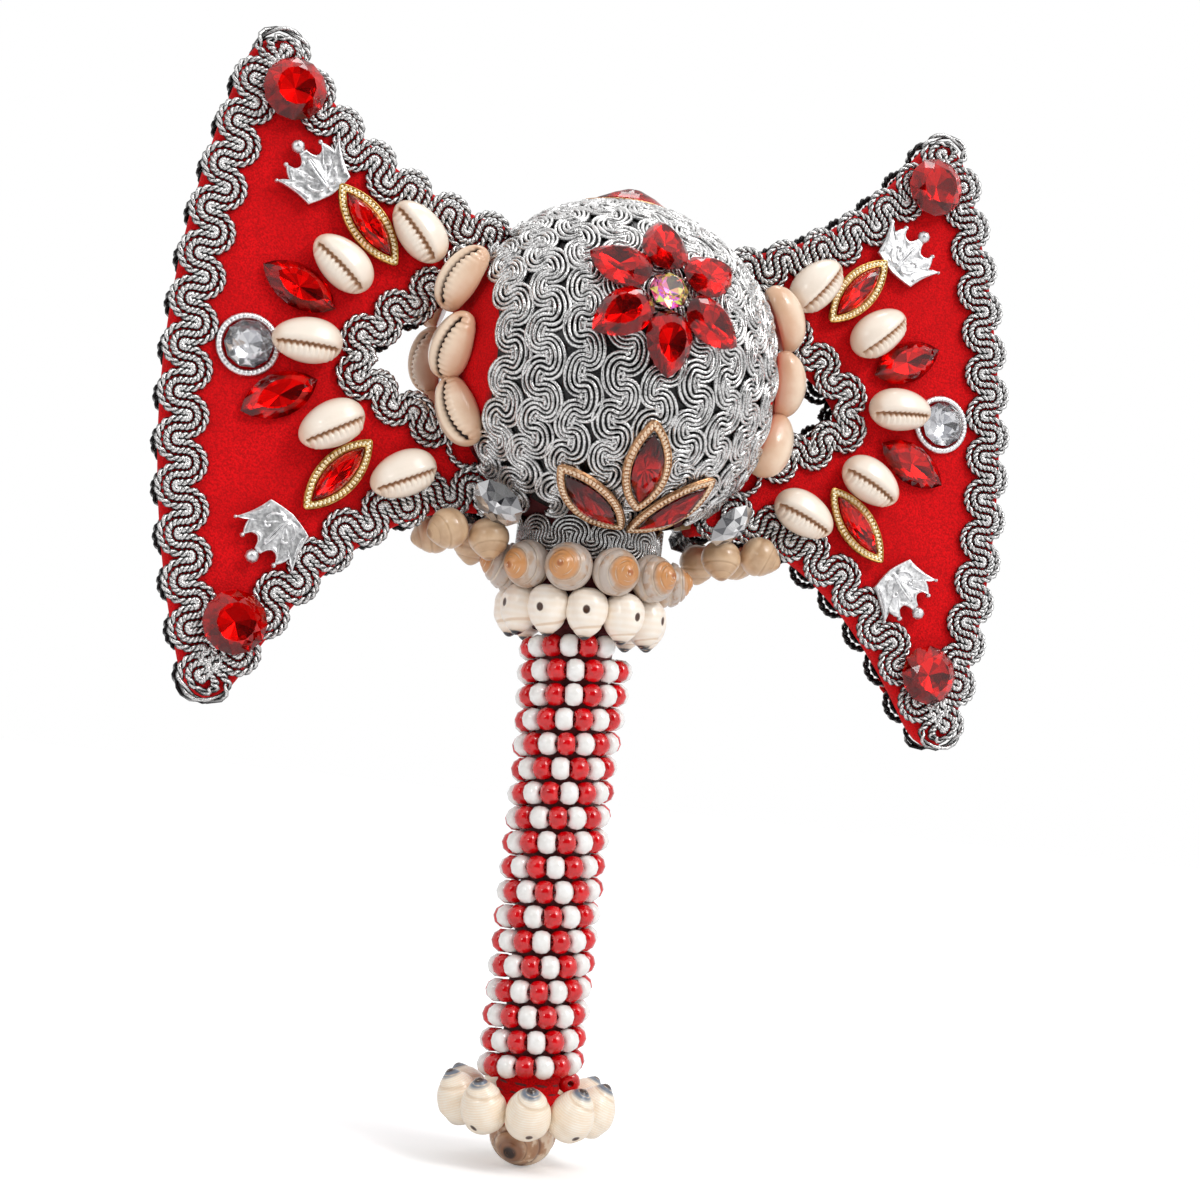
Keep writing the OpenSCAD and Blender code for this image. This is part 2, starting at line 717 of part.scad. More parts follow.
module window_braid(side) {
  color("silver") difference() {
    on_blade(side) both_faces() upright(braid_seat, braid_top) intersection() {
      difference() {
        window_flat(window_braid_w);
        window_flat(0);
      }
      blade_flat(edge_braid_w + glue_gap, corner_round / 4);
    }
    ball_seat();
  }
}
module blade_cowries(side) {
  color("bisque") on_blade(side) both_faces() for (i = [0:4]) {
    turn = (2 - i) * cowrie_fan_step;
    place = cowrie_fan_centre + cowrie_fan_r * [cos(turn), sin(turn)];
    on_face(spot(place, cowrie_turns[i]), shell_seat) cowrie(cowrie_l, cowrie_w);
  }
}
module crowns(side) {
  // Right half of the charm as drawn 15 high, from the foot's corner to the dip beside the middle point
  half = [[6.3, -6.6], [9.8, 1.8], [6.6, -0.4], [5, 3.4], [1.6, 1.6]] * crown_h / 15;
  foot = [0, -7.2] * crown_h / 15;
  middle = [0, 6.2] * crown_h / 15;
  ball = 0.055 * crown_h;
  color("silver") on_blade(side) both_faces() for (place = crown_spots)
    on_face(place, shell_seat) linear_extrude(crown_t) {
      polygon(concat([foot], half, [middle], [for (i = [4:-1:0]) [-half[i][0], half[i][1]]]));
      for (tip = [half[1], half[3]]) for (flip = [-1, 1]) translate([flip * tip[0], tip[1]]) circle(ball);
      translate(middle) circle(2 * ball);
    }
}
module tip_stones(side) {
  color("crimson") on_blade(side) both_faces() for (place = tip_stone_spots)
    on_face(place, shell_seat) round_stone(tip_stone_d, tip_stone_h);
}
module large_stones(side) {
  color("darkred") on_blade(side) both_faces() for (place = large_stone_spots)
    on_face(place, braid_seat) cut_stone(pointed(large_stone_l, large_stone_w, 8), pointed_stone_h);
}
module gold_frames(side) {
  color("goldenrod") on_blade(side) both_faces() for (place = frame_spots)
    on_face(place, shell_seat) pointed_frame(frame_l, frame_w);
}
module framed_stones(side) {
  color("darkred") on_blade(side) both_faces() for (place = frame_spots)
    on_face(place, shell_seat) framed_stone(frame_l, frame_w);
}
module clear_stones(side) {
  color("lavender") on_blade(side) both_faces() for (place = clear_stone_spots)
    on_face(place, braid_seat) round_stone(clear_stone_d, tip_stone_h);
}
module clear_rims(side) {
  color("silver") on_blade(side) both_faces() for (place = clear_stone_spots)
    on_face(place, braid_seat) difference() {
      cylinder(d = rim_d, h = frame_t);
      translate([0, 0, -past]) cylinder(d = clear_stone_d + 2 * glue_gap, h = frame_t + 2 * past);
    }
}

handle_stick();
end_collar();
bead_thread();
red_beads();
white_beads();
end_ring_shells();
end_cap_shell();
neck_collar();
neck_braid();
turban_shells();
whelk_shells();
root_snail_shells();
gourd_shell();
ball_cloth();
ball_braid(1);  // ball_braid_1
ball_braid(2);  // ball_braid_2
ball_braid(3);  // ball_braid_3
ball_braid(4);  // ball_braid_4
ball_braid(5);  // ball_braid_5
ball_braid(6);  // ball_braid_6
ball_braid(7);  // ball_braid_7
ball_braid(8);  // ball_braid_8
ball_braid(9);  // ball_braid_9
flower_petals(0, flower_rise);  // front_flower_petals
flower_petals(180, flower_rise);  // back_flower_petals
flower_centres();
ball_gold_frames();
ball_framed_stones();
oval_stones();
side_cowries(-1);  // left_side_cowries
side_cowries(1);  // right_side_cowries
seeds(0);  // seeds_front
seeds(180);  // seeds_back
seeds(-90);  // seeds_left
seeds(90);  // seeds_right
blade_board(-1);  // left_blade_board
blade_cloth(-1);  // left_blade_cloth
edge_braid(-1);  // left_edge_braid
window_braid(-1);  // left_window_braid
blade_cowries(-1);  // left_blade_cowries
crowns(-1);  // left_crowns
tip_stones(-1);  // left_tip_stones
large_stones(-1);  // left_large_stones
gold_frames(-1);  // left_gold_frames
framed_stones(-1);  // left_framed_stones
clear_stones(-1);  // left_clear_stones
clear_rims(-1);  // left_clear_rims
blade_board(1);  // right_blade_board
blade_cloth(1);  // right_blade_cloth
edge_braid(1);  // right_edge_braid
window_braid(1);  // right_window_braid
blade_cowries(1);  // right_blade_cowries
crowns(1);  // right_crowns
tip_stones(1);  // right_tip_stones
large_stones(1);  // right_large_stones
gold_frames(1);  // right_gold_frames
framed_stones(1);  // right_framed_stones
clear_stones(1);  // right_clear_stones
clear_rims(1);  // right_clear_rims
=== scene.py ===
# %% [markdown]
# # A beaded maraca, dressed in Blender
# The CAD frame holds every solid of the maraca in its place. This lesson covers what CAD leaves plain:
# braid, cloth, beads, shells and cut stones. Almost every new surface is a grid of points that a formula
# bends into shape with NumPy, so one line of arithmetic moves thousands of points at once.

# %% Load the CAD frame
import math

import bmesh
import bpy
import numpy as np
from mathutils import Matrix, Vector


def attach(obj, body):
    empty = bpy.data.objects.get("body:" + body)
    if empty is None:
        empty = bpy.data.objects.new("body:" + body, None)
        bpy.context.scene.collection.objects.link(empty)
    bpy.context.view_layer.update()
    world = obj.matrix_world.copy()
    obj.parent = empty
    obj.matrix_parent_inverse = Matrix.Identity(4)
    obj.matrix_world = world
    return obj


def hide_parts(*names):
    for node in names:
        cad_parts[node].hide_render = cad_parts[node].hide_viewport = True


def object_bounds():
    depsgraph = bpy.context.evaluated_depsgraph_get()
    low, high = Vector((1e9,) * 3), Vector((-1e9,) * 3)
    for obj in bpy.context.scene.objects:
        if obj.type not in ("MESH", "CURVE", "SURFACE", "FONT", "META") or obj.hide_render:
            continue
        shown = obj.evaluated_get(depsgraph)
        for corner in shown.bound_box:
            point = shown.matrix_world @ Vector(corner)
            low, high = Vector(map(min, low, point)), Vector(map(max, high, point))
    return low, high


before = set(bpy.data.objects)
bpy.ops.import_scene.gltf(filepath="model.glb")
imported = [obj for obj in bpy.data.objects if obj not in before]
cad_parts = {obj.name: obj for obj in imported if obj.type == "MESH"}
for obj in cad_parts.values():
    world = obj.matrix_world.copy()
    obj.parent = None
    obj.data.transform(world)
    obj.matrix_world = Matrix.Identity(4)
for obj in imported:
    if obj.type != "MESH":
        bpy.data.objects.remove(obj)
box_loaded = [list(map(float, corner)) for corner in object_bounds()]
MM = 0.001
UP = np.array([0, 0, 1.0])
rng = np.random.default_rng(7)


def add_object(name, data):
    """A new object in the scene."""
    obj = bpy.data.objects.new(name, data)
    bpy.context.scene.collection.objects.link(obj)
    return obj


print("CAD nodes loaded:", len(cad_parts))

# %% [markdown]
# ## Camera
# A camera looks along its own -Z axis, with +Y up in the picture. So the three columns of its turn are:
# to the right in the picture, up in the picture, and back towards the photographer.


# %% Camera
def aim_camera(place, lens, right, down, view):
    """The camera at a place in mm, turned so that right, down and view are its picture's directions."""
    data = bpy.data.cameras.new("camera")
    data.lens, data.sensor_width, data.clip_start = lens, 36, 0.01
    camera = add_object("camera", data)
    axes = np.array([right, -np.array(down), -np.array(view)]).T
    camera.rotation_mode = "QUATERNION"
    camera.rotation_quaternion = Matrix(axes.tolist()).to_quaternion()
    camera.location = np.array(place) * MM
    bpy.context.scene.camera = camera
    return camera


camera = aim_camera((-165.4, -546.6, 20.8), 62.99, right=(0.9459, -0.3048, 0.1109),
                    down=(0.1318, 0.0485, -0.9900), view=(0.2964, 0.9512, 0.0860))
print("camera lens:", camera.data.lens, "mm")

# %% [markdown]
# ## Places
# A place is a 4 by 4 matrix. Multiplying places together reads from left to right, from the whole object
# down to the small piece: first the head, then the blade on it, then the spot on the blade. `placed`
# copies a grid to many places with one `einsum`, which is a matrix product done for all copies at once.

# %% Places
BALL_Z, HEAD_LEAN, BLADE_DROP = 132, 3, 6
BALL_R, SKIN_R, COLUMN_R, SEAT_R = 46, 46.1, 47.2, 48.4  # cloth, what sits on it, braid, what sits on that
BRAID_SEAT, SHELL_SEAT = 4.0, 6.0  # over a blade's middle plane: on its cloth, and on its braid


def turn(axis, degrees):
    """A turn about one axis."""
    return np.array(Matrix.Rotation(math.radians(degrees), 4, axis))


def shift(x, y, z):
    """A move without a turn."""
    place = np.eye(4)
    place[:3, 3] = x, y, z
    return place


def flip(axis):
    """A mirror across the plane that one axis stands on."""
    return np.diag([-1.0 if name == axis else 1.0 for name in "XYZ"] + [1.0])


def placed(shape, places):
    """Copies of a grid (rows, columns, 3 + values), one for each place, along a new first dimension."""
    places = np.array(places)
    moved = np.einsum("nij,rcj->nrci", places[:, :3, :3], shape[..., :3]) + places[:, None, None, :3, 3]
    values = np.broadcast_to(shape[..., 3:], (len(places),) + shape[..., 3:].shape)
    return np.concatenate([moved, values], axis=-1)


def carried(grid, place):
    """A grid of any shape at one place; its values stay."""
    return np.concatenate([grid[..., :3] @ place[:3, :3].T + place[:3, 3], grid[..., 3:]], axis=-1)


HEAD = shift(0, 0, BALL_Z) @ turn("Y", -HEAD_LEAN)
BLADES = {"left": HEAD @ flip("X") @ shift(0, 0, -BLADE_DROP), "right": HEAD @ shift(0, 0, -BLADE_DROP)}
FACES = {"front": np.eye(4), "back": flip("Y")}


def on_faces(side, spots, seat):
    """Places on both faces of a blade: a spot is out, up and turned; seat is its height over the middle."""
    return [BLADES[side] @ face @ shift(x, -seat, z) @ turn("X", 90) @ turn("Z", angle)
            for face in FACES.values() for x, z, angle in spots]


def on_ball(around, rise, heading, along, r):
    """A place on the ball: turned about the handle, raised, then moved along the ball towards a heading."""
    return (HEAD @ turn("Z", around) @ turn("X", 90 - rise) @ turn("Z", heading)
            @ turn("X", -math.degrees(along / r)) @ shift(0, 0, r))


def ring(count, r, z, first):
    """Places round the handle, each with its Y axis towards the handle."""
    return [turn("Z", first + 360 * i / count) @ shift(0, -r, z) for i in range(count)]


print("places on one blade's two faces:", len(on_faces("left", [(50, 0, 0)], SHELL_SEAT)))

# %% [markdown]
# ## From grids to pieces
# A grid becomes a mesh when each small square of four neighbouring points becomes a face. The values
# after x, y and z are kept as attributes on the points, and the materials read them by name. `outward`
# looks at each copy and turns it over when its faces look inwards, which happens to mirrored copies.


# %% From grids to pieces
WELD = 0.001  # mm
VALUES = [], ["lift"], ["slit", "rim"], ["along", "seam", "hole"]  # plain, cords and rails, cowries, spirals


def outward(grid):
    """Turns over each copy whose faces look inwards: normals times places then sum to less than zero."""
    a, b, c, d = (grid[:, i:i - 1 or None, j:j - 1 or None, :3] for i, j in ((0, 0), (1, 0), (1, 1), (0, 1)))
    middle = (a + b + c + d) / 4 - grid[..., :3].mean(axis=(1, 2), keepdims=True)
    inward = (np.cross(c - a, d - b) * middle).sum(axis=(1, 2, 3)) < 0
    grid[inward] = grid[inward][:, :, ::-1]
    return grid


def add_piece(name, points, faces, node, materials):
    """One mesh object from points in mm: it rides on the maraca, and the CAD node it stands for is hidden."""
    mesh = bpy.data.meshes.new(name)
    mesh.from_pydata(points[:, :3] * MM, [], faces)
    for value, column in zip(VALUES[points.shape[1] - 3], points.T[3:]):
        mesh.attributes.new(value, "FLOAT", "POINT").data.foreach_set("value", column)
    for material in materials:
        mesh.materials.append(material)
    obj = add_object(name, mesh)
    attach(obj, "maraca")
    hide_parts(node)
    return obj


def grid_piece(name, grids, node, material, sharp=180):
    """One piece from grids (copies, rows, columns, 3 + values), with seams and closed ends welded."""
    points, faces, start = [], [], 0
    for grid in grids:
        grid = outward(np.array(grid, dtype=float))
        index = start + np.arange(grid[..., 0].size).reshape(grid.shape[:3])
        corners = index[:, :-1, :-1], index[:, 1:, :-1], index[:, 1:, 1:], index[:, :-1, 1:]
        faces.append(np.stack(corners, axis=-1).reshape(-1, 4))
        points.append(grid.reshape(-1, grid.shape[-1]))
        start += index.size
    obj = add_piece(name, np.concatenate(points), np.concatenate(faces), node, [material])
    work = bmesh.new()
    work.from_mesh(obj.data)
    bmesh.ops.remove_doubles(work, verts=work.verts, dist=WELD * MM)
    work.to_mesh(obj.data)
    work.free()
    obj.data.shade_smooth()
    if sharp < 180:
        obj.data.set_sharp_from_angle(angle=math.radians(sharp))
    return obj


def with_value(grid, *values):
    """A grid with more values on each of its points."""
    values = (np.broadcast_to(value, grid.shape[:-1])[..., None] for value in values)
    return np.concatenate([grid, *values], axis=-1)


def about_z(r, angle, z):
    """Points from their radius, angle and height."""
    return np.stack([r * np.cos(angle), r * np.sin(angle), z + 0 * r * angle], axis=-1)


def unit(vectors):
    """Vectors of length one; a zero vector stays zero."""
    length = np.linalg.norm(vectors, axis=-1, keepdims=True)
    return vectors / np.where(length > 0, length, 1)


print("helpers ready")

# %% [markdown]
# ## Shader arithmetic
# A `Wire` is one output of a shader node. Adding or multiplying wires makes Math nodes, so a pattern is
# written as a plain formula. Every other node comes from `Graph.node`, which takes the node's kind,
# its settings and what goes into its sockets.


# %% Shader arithmetic
class Wire:
    """An output socket that takes part in arithmetic; each operation adds one Math node."""

    def __init__(self, graph, socket):
        self.graph, self.socket = graph, socket

    def math(self, operation, *values):
        """One Math node."""
        return self.graph.node("Math", {"operation": operation}, dict(enumerate(values)))

    def __add__(self, other):
        return self.math("ADD", self, other)

    def __rsub__(self, other):
        return self.math("SUBTRACT", other, self)

    def __mul__(self, other):
        return self.math("MULTIPLY", self, other)

    def wave(self):
        """Sine of the value, brought between 0 and 1."""
        return self.math("SINE", self) * 0.5 + 0.5

    def above(self, low, high):
        """A soft step: 0 under low, 1 over high."""
        return self.graph.node("MapRange", {"interpolation_type": "SMOOTHSTEP"},
                               {"Value": self, "From Min": low, "From Max": high})


class Graph:
    """A node tree whose sockets take wires or plain values."""

    def __init__(self, tree):
        self.tree = tree

    def node(self, kind, settings, values, output=0):
        """One node, as the wire that leaves one of its outputs."""
        node = self.tree.nodes.new("ShaderNode" + kind)
        for setting, value in settings.items():
            setattr(node, setting, value)
        for socket, value in values.items():
            self.put(node.inputs[socket], value)
        return Wire(self, node.outputs[output])

    def put(self, socket, value):
        """Links a wire or sets a plain value; three numbers are a colour as a picture shows it."""
        if isinstance(value, Wire):
            self.tree.links.new(value.socket, socket)
        else:
            socket.default_value = rgb(*value) if np.size(value) == 3 else value

    def mix(self, share, first, second):
        """A colour between two colours."""
        return self.node("Mix", {"data_type": "RGBA"}, {0: share, 6: first, 7: second}, 2)


class Looks(Graph):
    """A material with one Principled shader."""

    def __init__(self, name, **values):
        self.material = bpy.data.materials.new(name)
        self.material.use_nodes = True
        super().__init__(self.material.node_tree)
        self.feed(**values)

    def feed(self, **values):
        """Puts wires or plain values into the shader's own sockets."""
        for socket, value in values.items():
            self.put(self.tree.nodes["Principled BSDF"].inputs[socket.replace("_", " ")], value)
        return self.material

    def spot(self):
        """Object coordinates, in metres."""
        return self.node("TexCoord", {}, {}, "Object")

    def axes(self):
        """Object coordinates as three wires, in mm."""
        split = self.node("SeparateXYZ", {}, {0: self.spot()}).socket.node
        return [Wire(self, out) * 1000.0 for out in split.outputs]

    def value(self, name):
        """A value kept on the mesh's points or faces."""
        return self.node("Attribute", {"attribute_name": name}, {}, "Fac")

    def noise(self, size, detail=3.0):
        """Noise between 0 and 1 whose lumps measure about size mm."""
        values = {"Vector": self.spot(), "Scale": 1000 / size, "Detail": detail}
        return self.node("TexNoise", {}, values)

    def dress(self, colour, height, mm, **values):
        """The material with a colour, a bump from a height wire that is mm high, and other values."""
        bump = self.node("Bump", {}, {"Height": height, "Distance": mm * MM, "Strength": 1.0})
        return self.feed(Base_Color=colour, Normal=bump, **values)


def rgb(red, green, blue):
    """A colour given as a picture shows it, from 0 to 255, in the linear light that shaders use."""
    share = np.array([red, green, blue]) / 255
    linear = np.where(share <= 0.04045, share / 12.92, ((share + 0.055) / 1.055) ** 2.4)
    return (*linear.tolist(), 1.0)


print("bright red in linear light:", [round(part, 3) for part in rgb(205, 24, 34)[:3]])

# %% [markdown]
# ## Materials
# Each material has the small detail of the real one: fibres in the cloth, uneven glaze on the beads,
# growth lines on the shells, facets that differ inside the stones. The detail's size is given in mm.


# %% Cloth, wood and metal
BRAID_END, BRAID_FOOT = (36.5, 39.0), (52.0, 56.0)  # soft steps in mm where the painted shade under the ball's braid ends: in X, and in Z


def cloth_looks(name, shade_strength):
    """Red felt: fine fibres and slow changes of tone, with painted shade in dark grey beneath the ball's
    braid and all over the neck wrap; the last argument is how strong that painted shade is.
    """
    looks = Looks(name, Roughness=0.85, Specular_IOR_Level=0.2)
    x, _, z = looks.axes()
    fibre, tone = looks.noise(0.5, 4.0), looks.noise(14.0)
    shade_mask = (1.0 - x.math("ABSOLUTE", x).above(*BRAID_END)) * z.above(*BRAID_FOOT)
    plain = looks.mix(tone.above(0.3, 0.7), (218, 0, 8), (236, 4, 14))
    grained = looks.mix(fibre.above(0.3, 0.7), (180, 0, 6), plain)
    # Painted shade: the cloth turns dark grey where the ball's braid and the neck cover it.
    return looks.dress(looks.mix(shade_mask * shade_strength, grained, (40, 30, 32)), fibre, 0.25)


def metal_looks(name, low, high, stud, grain, roughness, metallic=1.0):
    """Bright metal with a fine grain: the tone runs between two colours, and studs have a third."""
    looks = Looks(name, Metallic=metallic)
    fine = looks.noise(grain, 4.0)
    tone = looks.mix(fine.above(0.3, 0.7), low, high)
    studded = looks.mix(looks.value("lift").above(1.2, 1.6), tone, stud)
    return looks.dress(studded, fine, 0.05, Roughness=fine * 0.2 + roughness)


def cord_looks(name, dark, light, low, high):
    """Metal-wrapped cord with painted light and shade: the lift value paints it bright on its back and dark
    where it sinks between its neighbours.
    """
    looks = Looks(name, Metallic=0.9)
    fine = looks.noise(0.4, 3.0)
    # Painted light and shade: the colour follows the lift value from the dark colour to the light one.
    tone = looks.value("lift").above(low, high) * fine.above(0.25, 0.55)
    return looks.dress(looks.mix(tone, dark, light), fine, 0.1, Roughness=fine * 0.25 + 0.12)


def wood_looks(name, dark, light, size):
    """Wood or rind: streaks along Z, with a fine pore grain."""
    looks = Looks(name, Roughness=0.55)
    x, y, _ = looks.axes()
    streak = (looks.noise(size) * 9.0 + x * 1.3 + y * 0.9).wave()
    pore = looks.noise(0.4, 2.0)
    return looks.dress(looks.mix(streak * 0.7 + pore * 0.3, dark, light), pore, 0.1)


# The second cloth carries painted shade under the ball's braid and on the neck; the first has none.
CLOTH = cloth_looks("red_cloth", 0.0)
SHADED_CLOTH = cloth_looks("red_cloth_with_painted_shade", 0.9)
GOLD = metal_looks("gold_frame", (160, 112, 48), (240, 202, 120), (255, 244, 212), 0.7, 0.22)
COPPER = metal_looks("rose_gold_frame", (152, 102, 66), (226, 182, 140), (252, 230, 204), 0.7, 0.22)
CHARM = metal_looks("silver_charm", (206, 206, 208), (250, 250, 250), (255, 255, 255), 0.8, 0.28)
# For each cord the first colour is painted shade and the second the lit metal.
BLADE_CORD = cord_looks("blade_cord", (30, 28, 29), (236, 235, 234), -0.35, 0.75)
BALL_CORD = cord_looks("ball_cord", (26, 25, 26), (240, 239, 238), -0.6, 0.85)
NECK_CORD = cord_looks("neck_cord", (30, 28, 29), (200, 199, 198), -0.4, 0.8)
STICK = wood_looks("stick_wood", (84, 10, 12), (120, 20, 22), 6.0)
RIND = wood_looks("gourd_rind", (150, 104, 56), (196, 150, 92), 8.0)
BOARD = wood_looks("blade_board", (168, 128, 84), (206, 172, 124), 5.0)
SEED = wood_looks("seed", (70, 40, 22), (128, 84, 50), 2.0)
INSIDE = {"handle_stick": STICK, "gourd_shell": RIND, "left_blade_board": BOARD, "right_blade_board": BOARD,
          **{f"seeds_{group}": SEED for group in ("front", "back", "left", "right")}}
for node, material in INSIDE.items():
    for material_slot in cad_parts[node].material_slots:
        material_slot.material = material
print("cloth, wood and metal ready")


# %% Beads, shells and stones
def bead_looks(name, deep, bright):
    """Pressed glass: slightly uneven colour under a clear glaze."""
    looks = Looks(name, Roughness=0.12, Coat_Weight=0.6, Coat_Roughness=0.03)
    cloud = looks.noise(2.5)
    return looks.dress(looks.mix(cloud.above(0.3, 0.7), deep, bright), cloud, 0.08)


def cowrie_looks(name, pale, warm, inner):
    """Cowrie: glossy, cream at its lips and warmer at its rim; the slit and the gaps between its teeth take
    the last colour, painted shade over the shell's own tan.
    """
    looks = Looks(name, Roughness=0.24, Coat_Weight=0.35, Coat_Roughness=0.08)
    cloud = looks.noise(5.0)
    skin = looks.mix((looks.value("rim") + cloud * 0.6).above(0.35, 1.15), pale, warm)
    # Painted shade in the slit: the slit value mixes in the last colour.
    return looks.dress(looks.mix(looks.value("slit").above(0.25, 0.8), skin, inner), looks.noise(0.8), 0.04)


def shell_looks(name, tip, band, body, shade, line, bands, ribs=60.0, pearl=None):
    """Spiral shell: along is 0 at its tip and 1 at its foot, seam is 0 in the groove between two whorls."""
    looks = Looks(name, Roughness=0.28, Coat_Weight=0.3, Coat_Roughness=0.1)
    along, cloud = looks.value("along"), looks.noise(3.0)
    ribbing = (along * ribs).wave()
    skin = looks.mix((ribbing * 0.3 + cloud * 0.9).above(0.3, 0.95), shade, body)
    if pearl:
        skin = looks.mix((cloud * 9.0 + along * 7.0).wave().above(0.55, 0.95) * 0.8, skin, pearl)
    banded = looks.mix(along.above(bands[1], bands[1] + 0.08), band, skin)
    tipped = looks.mix(along.above(bands[0], bands[0] + 0.04), tip, banded)
    groove = (1.0 - looks.value("seam").above(0.05, 0.25)) * (1.0 - along.above(0.4, 0.65))
    lined = looks.mix(groove * 0.75, tipped, line)
    # Painted shade in the drilled hole: dark brown where the hole value is high.
    hole_with_painted_shade = looks.mix(looks.value("hole").above(0.4, 0.65), lined, (70, 42, 26))
    return looks.dress(hole_with_painted_shade, ribbing * 0.6 + cloud * 0.5, 0.07)


def glass_looks(name, tint):
    """Clear or tinted glass for the crown of a cut stone, very slightly uneven."""
    looks = Looks(name, Transmission_Weight=1.0, IOR=1.52)
    return looks.feed(Base_Color=tint, Roughness=looks.noise(3.0) * 0.02)


def foil_looks(name, first, second):
    """Mirror foil behind a stone: each facet has its own tone between two colours."""
    looks = Looks(name, Metallic=0.8, Roughness=0.1)
    return looks.dress(looks.mix(looks.value("facet"), first, second), looks.noise(2.0), 0.03)


def rainbow_looks(name):
    """Foil with a coloured film: the hue differs from facet to facet."""
    looks = Looks(name, Metallic=1.0, Roughness=0.08)
    hue = looks.value("facet") * 0.42 + looks.noise(4.0) * 0.1 + 0.18
    values = {"Hue": hue, "Saturation": 0.9, "Color": (236, 150, 90)}
    return looks.feed(Base_Color=looks.node("HueSaturation", {}, values))


RED_BEAD = bead_looks("red_bead", (194, 0, 10), (226, 6, 18))
WHITE_BEAD = bead_looks("white_bead", (240, 238, 233), (252, 251, 248))
THREAD = metal_looks("bead_thread", (120, 20, 26), (168, 40, 44), (168, 40, 44), 0.6, 0.5, 0.0)
# The last colour is painted shade in the slit: tan on the cream cowries, near black on the pink ones.
CREAM_COWRIE = cowrie_looks("cream_cowrie", (251, 238, 222), (240, 214, 190), (186, 138, 100))
PINK_COWRIE = cowrie_looks("pink_cowrie", (246, 222, 196), (224, 180, 146), (44, 26, 22))
TURBAN = shell_looks("pearly_shell", (170, 98, 46), (208, 146, 90), (206, 182, 160), (174, 140, 114),
                     (248, 230, 206), (0.03, 0.2), 24.0, (196, 184, 174))
WHELK = shell_looks("cream_shell", (30, 28, 36), (232, 214, 194), (255, 246, 234), (250, 236, 218),
                    (226, 196, 164), (0.09, 0.12))
RIBBED = shell_looks("ribbed_shell", (58, 36, 26), (112, 122, 136), (255, 246, 230), (250, 230, 204),
                     (232, 206, 176), (0.05, 0.11), 190.0)
SNAIL = shell_looks("brown_shell", (170, 132, 98), (204, 168, 130), (218, 186, 150), (194, 158, 122),
                    (182, 146, 110), (0.06, 0.14), 20.0)
CAP = shell_looks("cap_shell", (46, 28, 22), (150, 104, 74), (232, 196, 160), (180, 130, 94), (120, 78, 54),
                  (0.05, 0.11), 18.0, (246, 224, 198))
RED_GLASS = glass_looks("red_glass", (255, 66, 60))
RED_FOIL = foil_looks("red_foil", (150, 0, 6), (255, 44, 36))
CLEAR_GLASS = glass_looks("clear_glass", (250, 250, 252))
CLEAR_FOIL = foil_looks("clear_foil", (160, 162, 168), (255, 255, 255))
MIRROR_FOIL = foil_looks("mirror_foil", (64, 64, 70), (255, 255, 255))
WINE_FOIL = foil_looks("wine_foil", (84, 0, 8), (206, 8, 22))
RAINBOW_FOIL = rainbow_looks("rainbow_foil")
print("materials:", len(bpy.data.materials))

# %% [markdown]
# ## Guides and meanders
# A braid is laid in waves along a guide: the edge of a blade, or a circle round the ball. The waves come
# from a sine-generated curve, whose heading swings to and fro as a cosine. Rivers meander that way, and
# so does a cord that is pushed together. `tubes` then gives every line a round or flat section.


# %% Guides and meanders
# Corners of the lines that a blade's outline and its window touch, in mm out from the handle and up.
BLADE_LINES = np.array([[22, 43], [63, 46], [100, 97], [133.25, -3.5], [105.5, -104], [61.5, -28], [24, -38]])
WINDOW_LINES = np.array([[30, 36], [73, 1], [30, -18.6]])
WINDOW_CUT = 12


def bend(a, b, c, n=16):
    """Points of a curve that leaves a for b and arrives at c from b, without its last point."""
    t = np.linspace(0, 1, n, endpoint=False)[:, None]
    return (1 - t) ** 2 * a + 2 * t * (1 - t) * b + t ** 2 * c


def shift_chain(corners, d):
    """Corners of a chain of lines after each line moves d to its right."""
    step = unit(np.diff(corners, axis=0))
    right = np.stack([step[:, 1], -step[:, 0]], axis=1)
    a, b = np.vstack([right[:1], right]), np.vstack([right, right[-1:]])
    return corners + d * (a + b) / (1 + (a * b).sum(axis=1, keepdims=True))


def toward(p, q, d):
    """A point at distance d from p towards q."""
    return p + d * unit(q - p)


def blade_path(d, cut):
    """Outline of the right blade from upper to lower root, d further in, its corners rounded over cut."""
    k = shift_chain(BLADE_LINES, d)
    p, q, r, s = (toward(k[i], k[j], cut) for i, j in ((2, 1), (2, 3), (4, 3), (4, 5)))
    return np.vstack([bend(k[0], k[1], p), bend(p, k[2], q), bend(q, k[3], r, 32), bend(r, k[4], s),
                      bend(s, k[5], k[6]), k[6:]])


def window_path(d):
    """Outline of the right blade's window, moved out into the blade by d."""
    k = shift_chain(WINDOW_LINES, -d)
    half = np.arccos((unit(k[0] - k[1]) * unit(k[2] - k[1])).sum()) / 2
    cut = WINDOW_CUT + 2 * d * (1 / np.sin(half) - 1) / np.cos(half)
    p, q = toward(k[1], k[0], cut), toward(k[1], k[2], cut)
    return np.vstack([k[:1], bend(p, k[1], q), q[None], k[2:]])


def even(path, count):
    """Points at equal distances along a path, with the run to each of them."""
    run = np.concatenate([[0], np.cumsum(np.linalg.norm(np.diff(path, axis=0), axis=1))])
    at = np.linspace(0, run[-1], count)
    return np.stack([np.interp(at, run, axis) for axis in path.T], axis=1), at


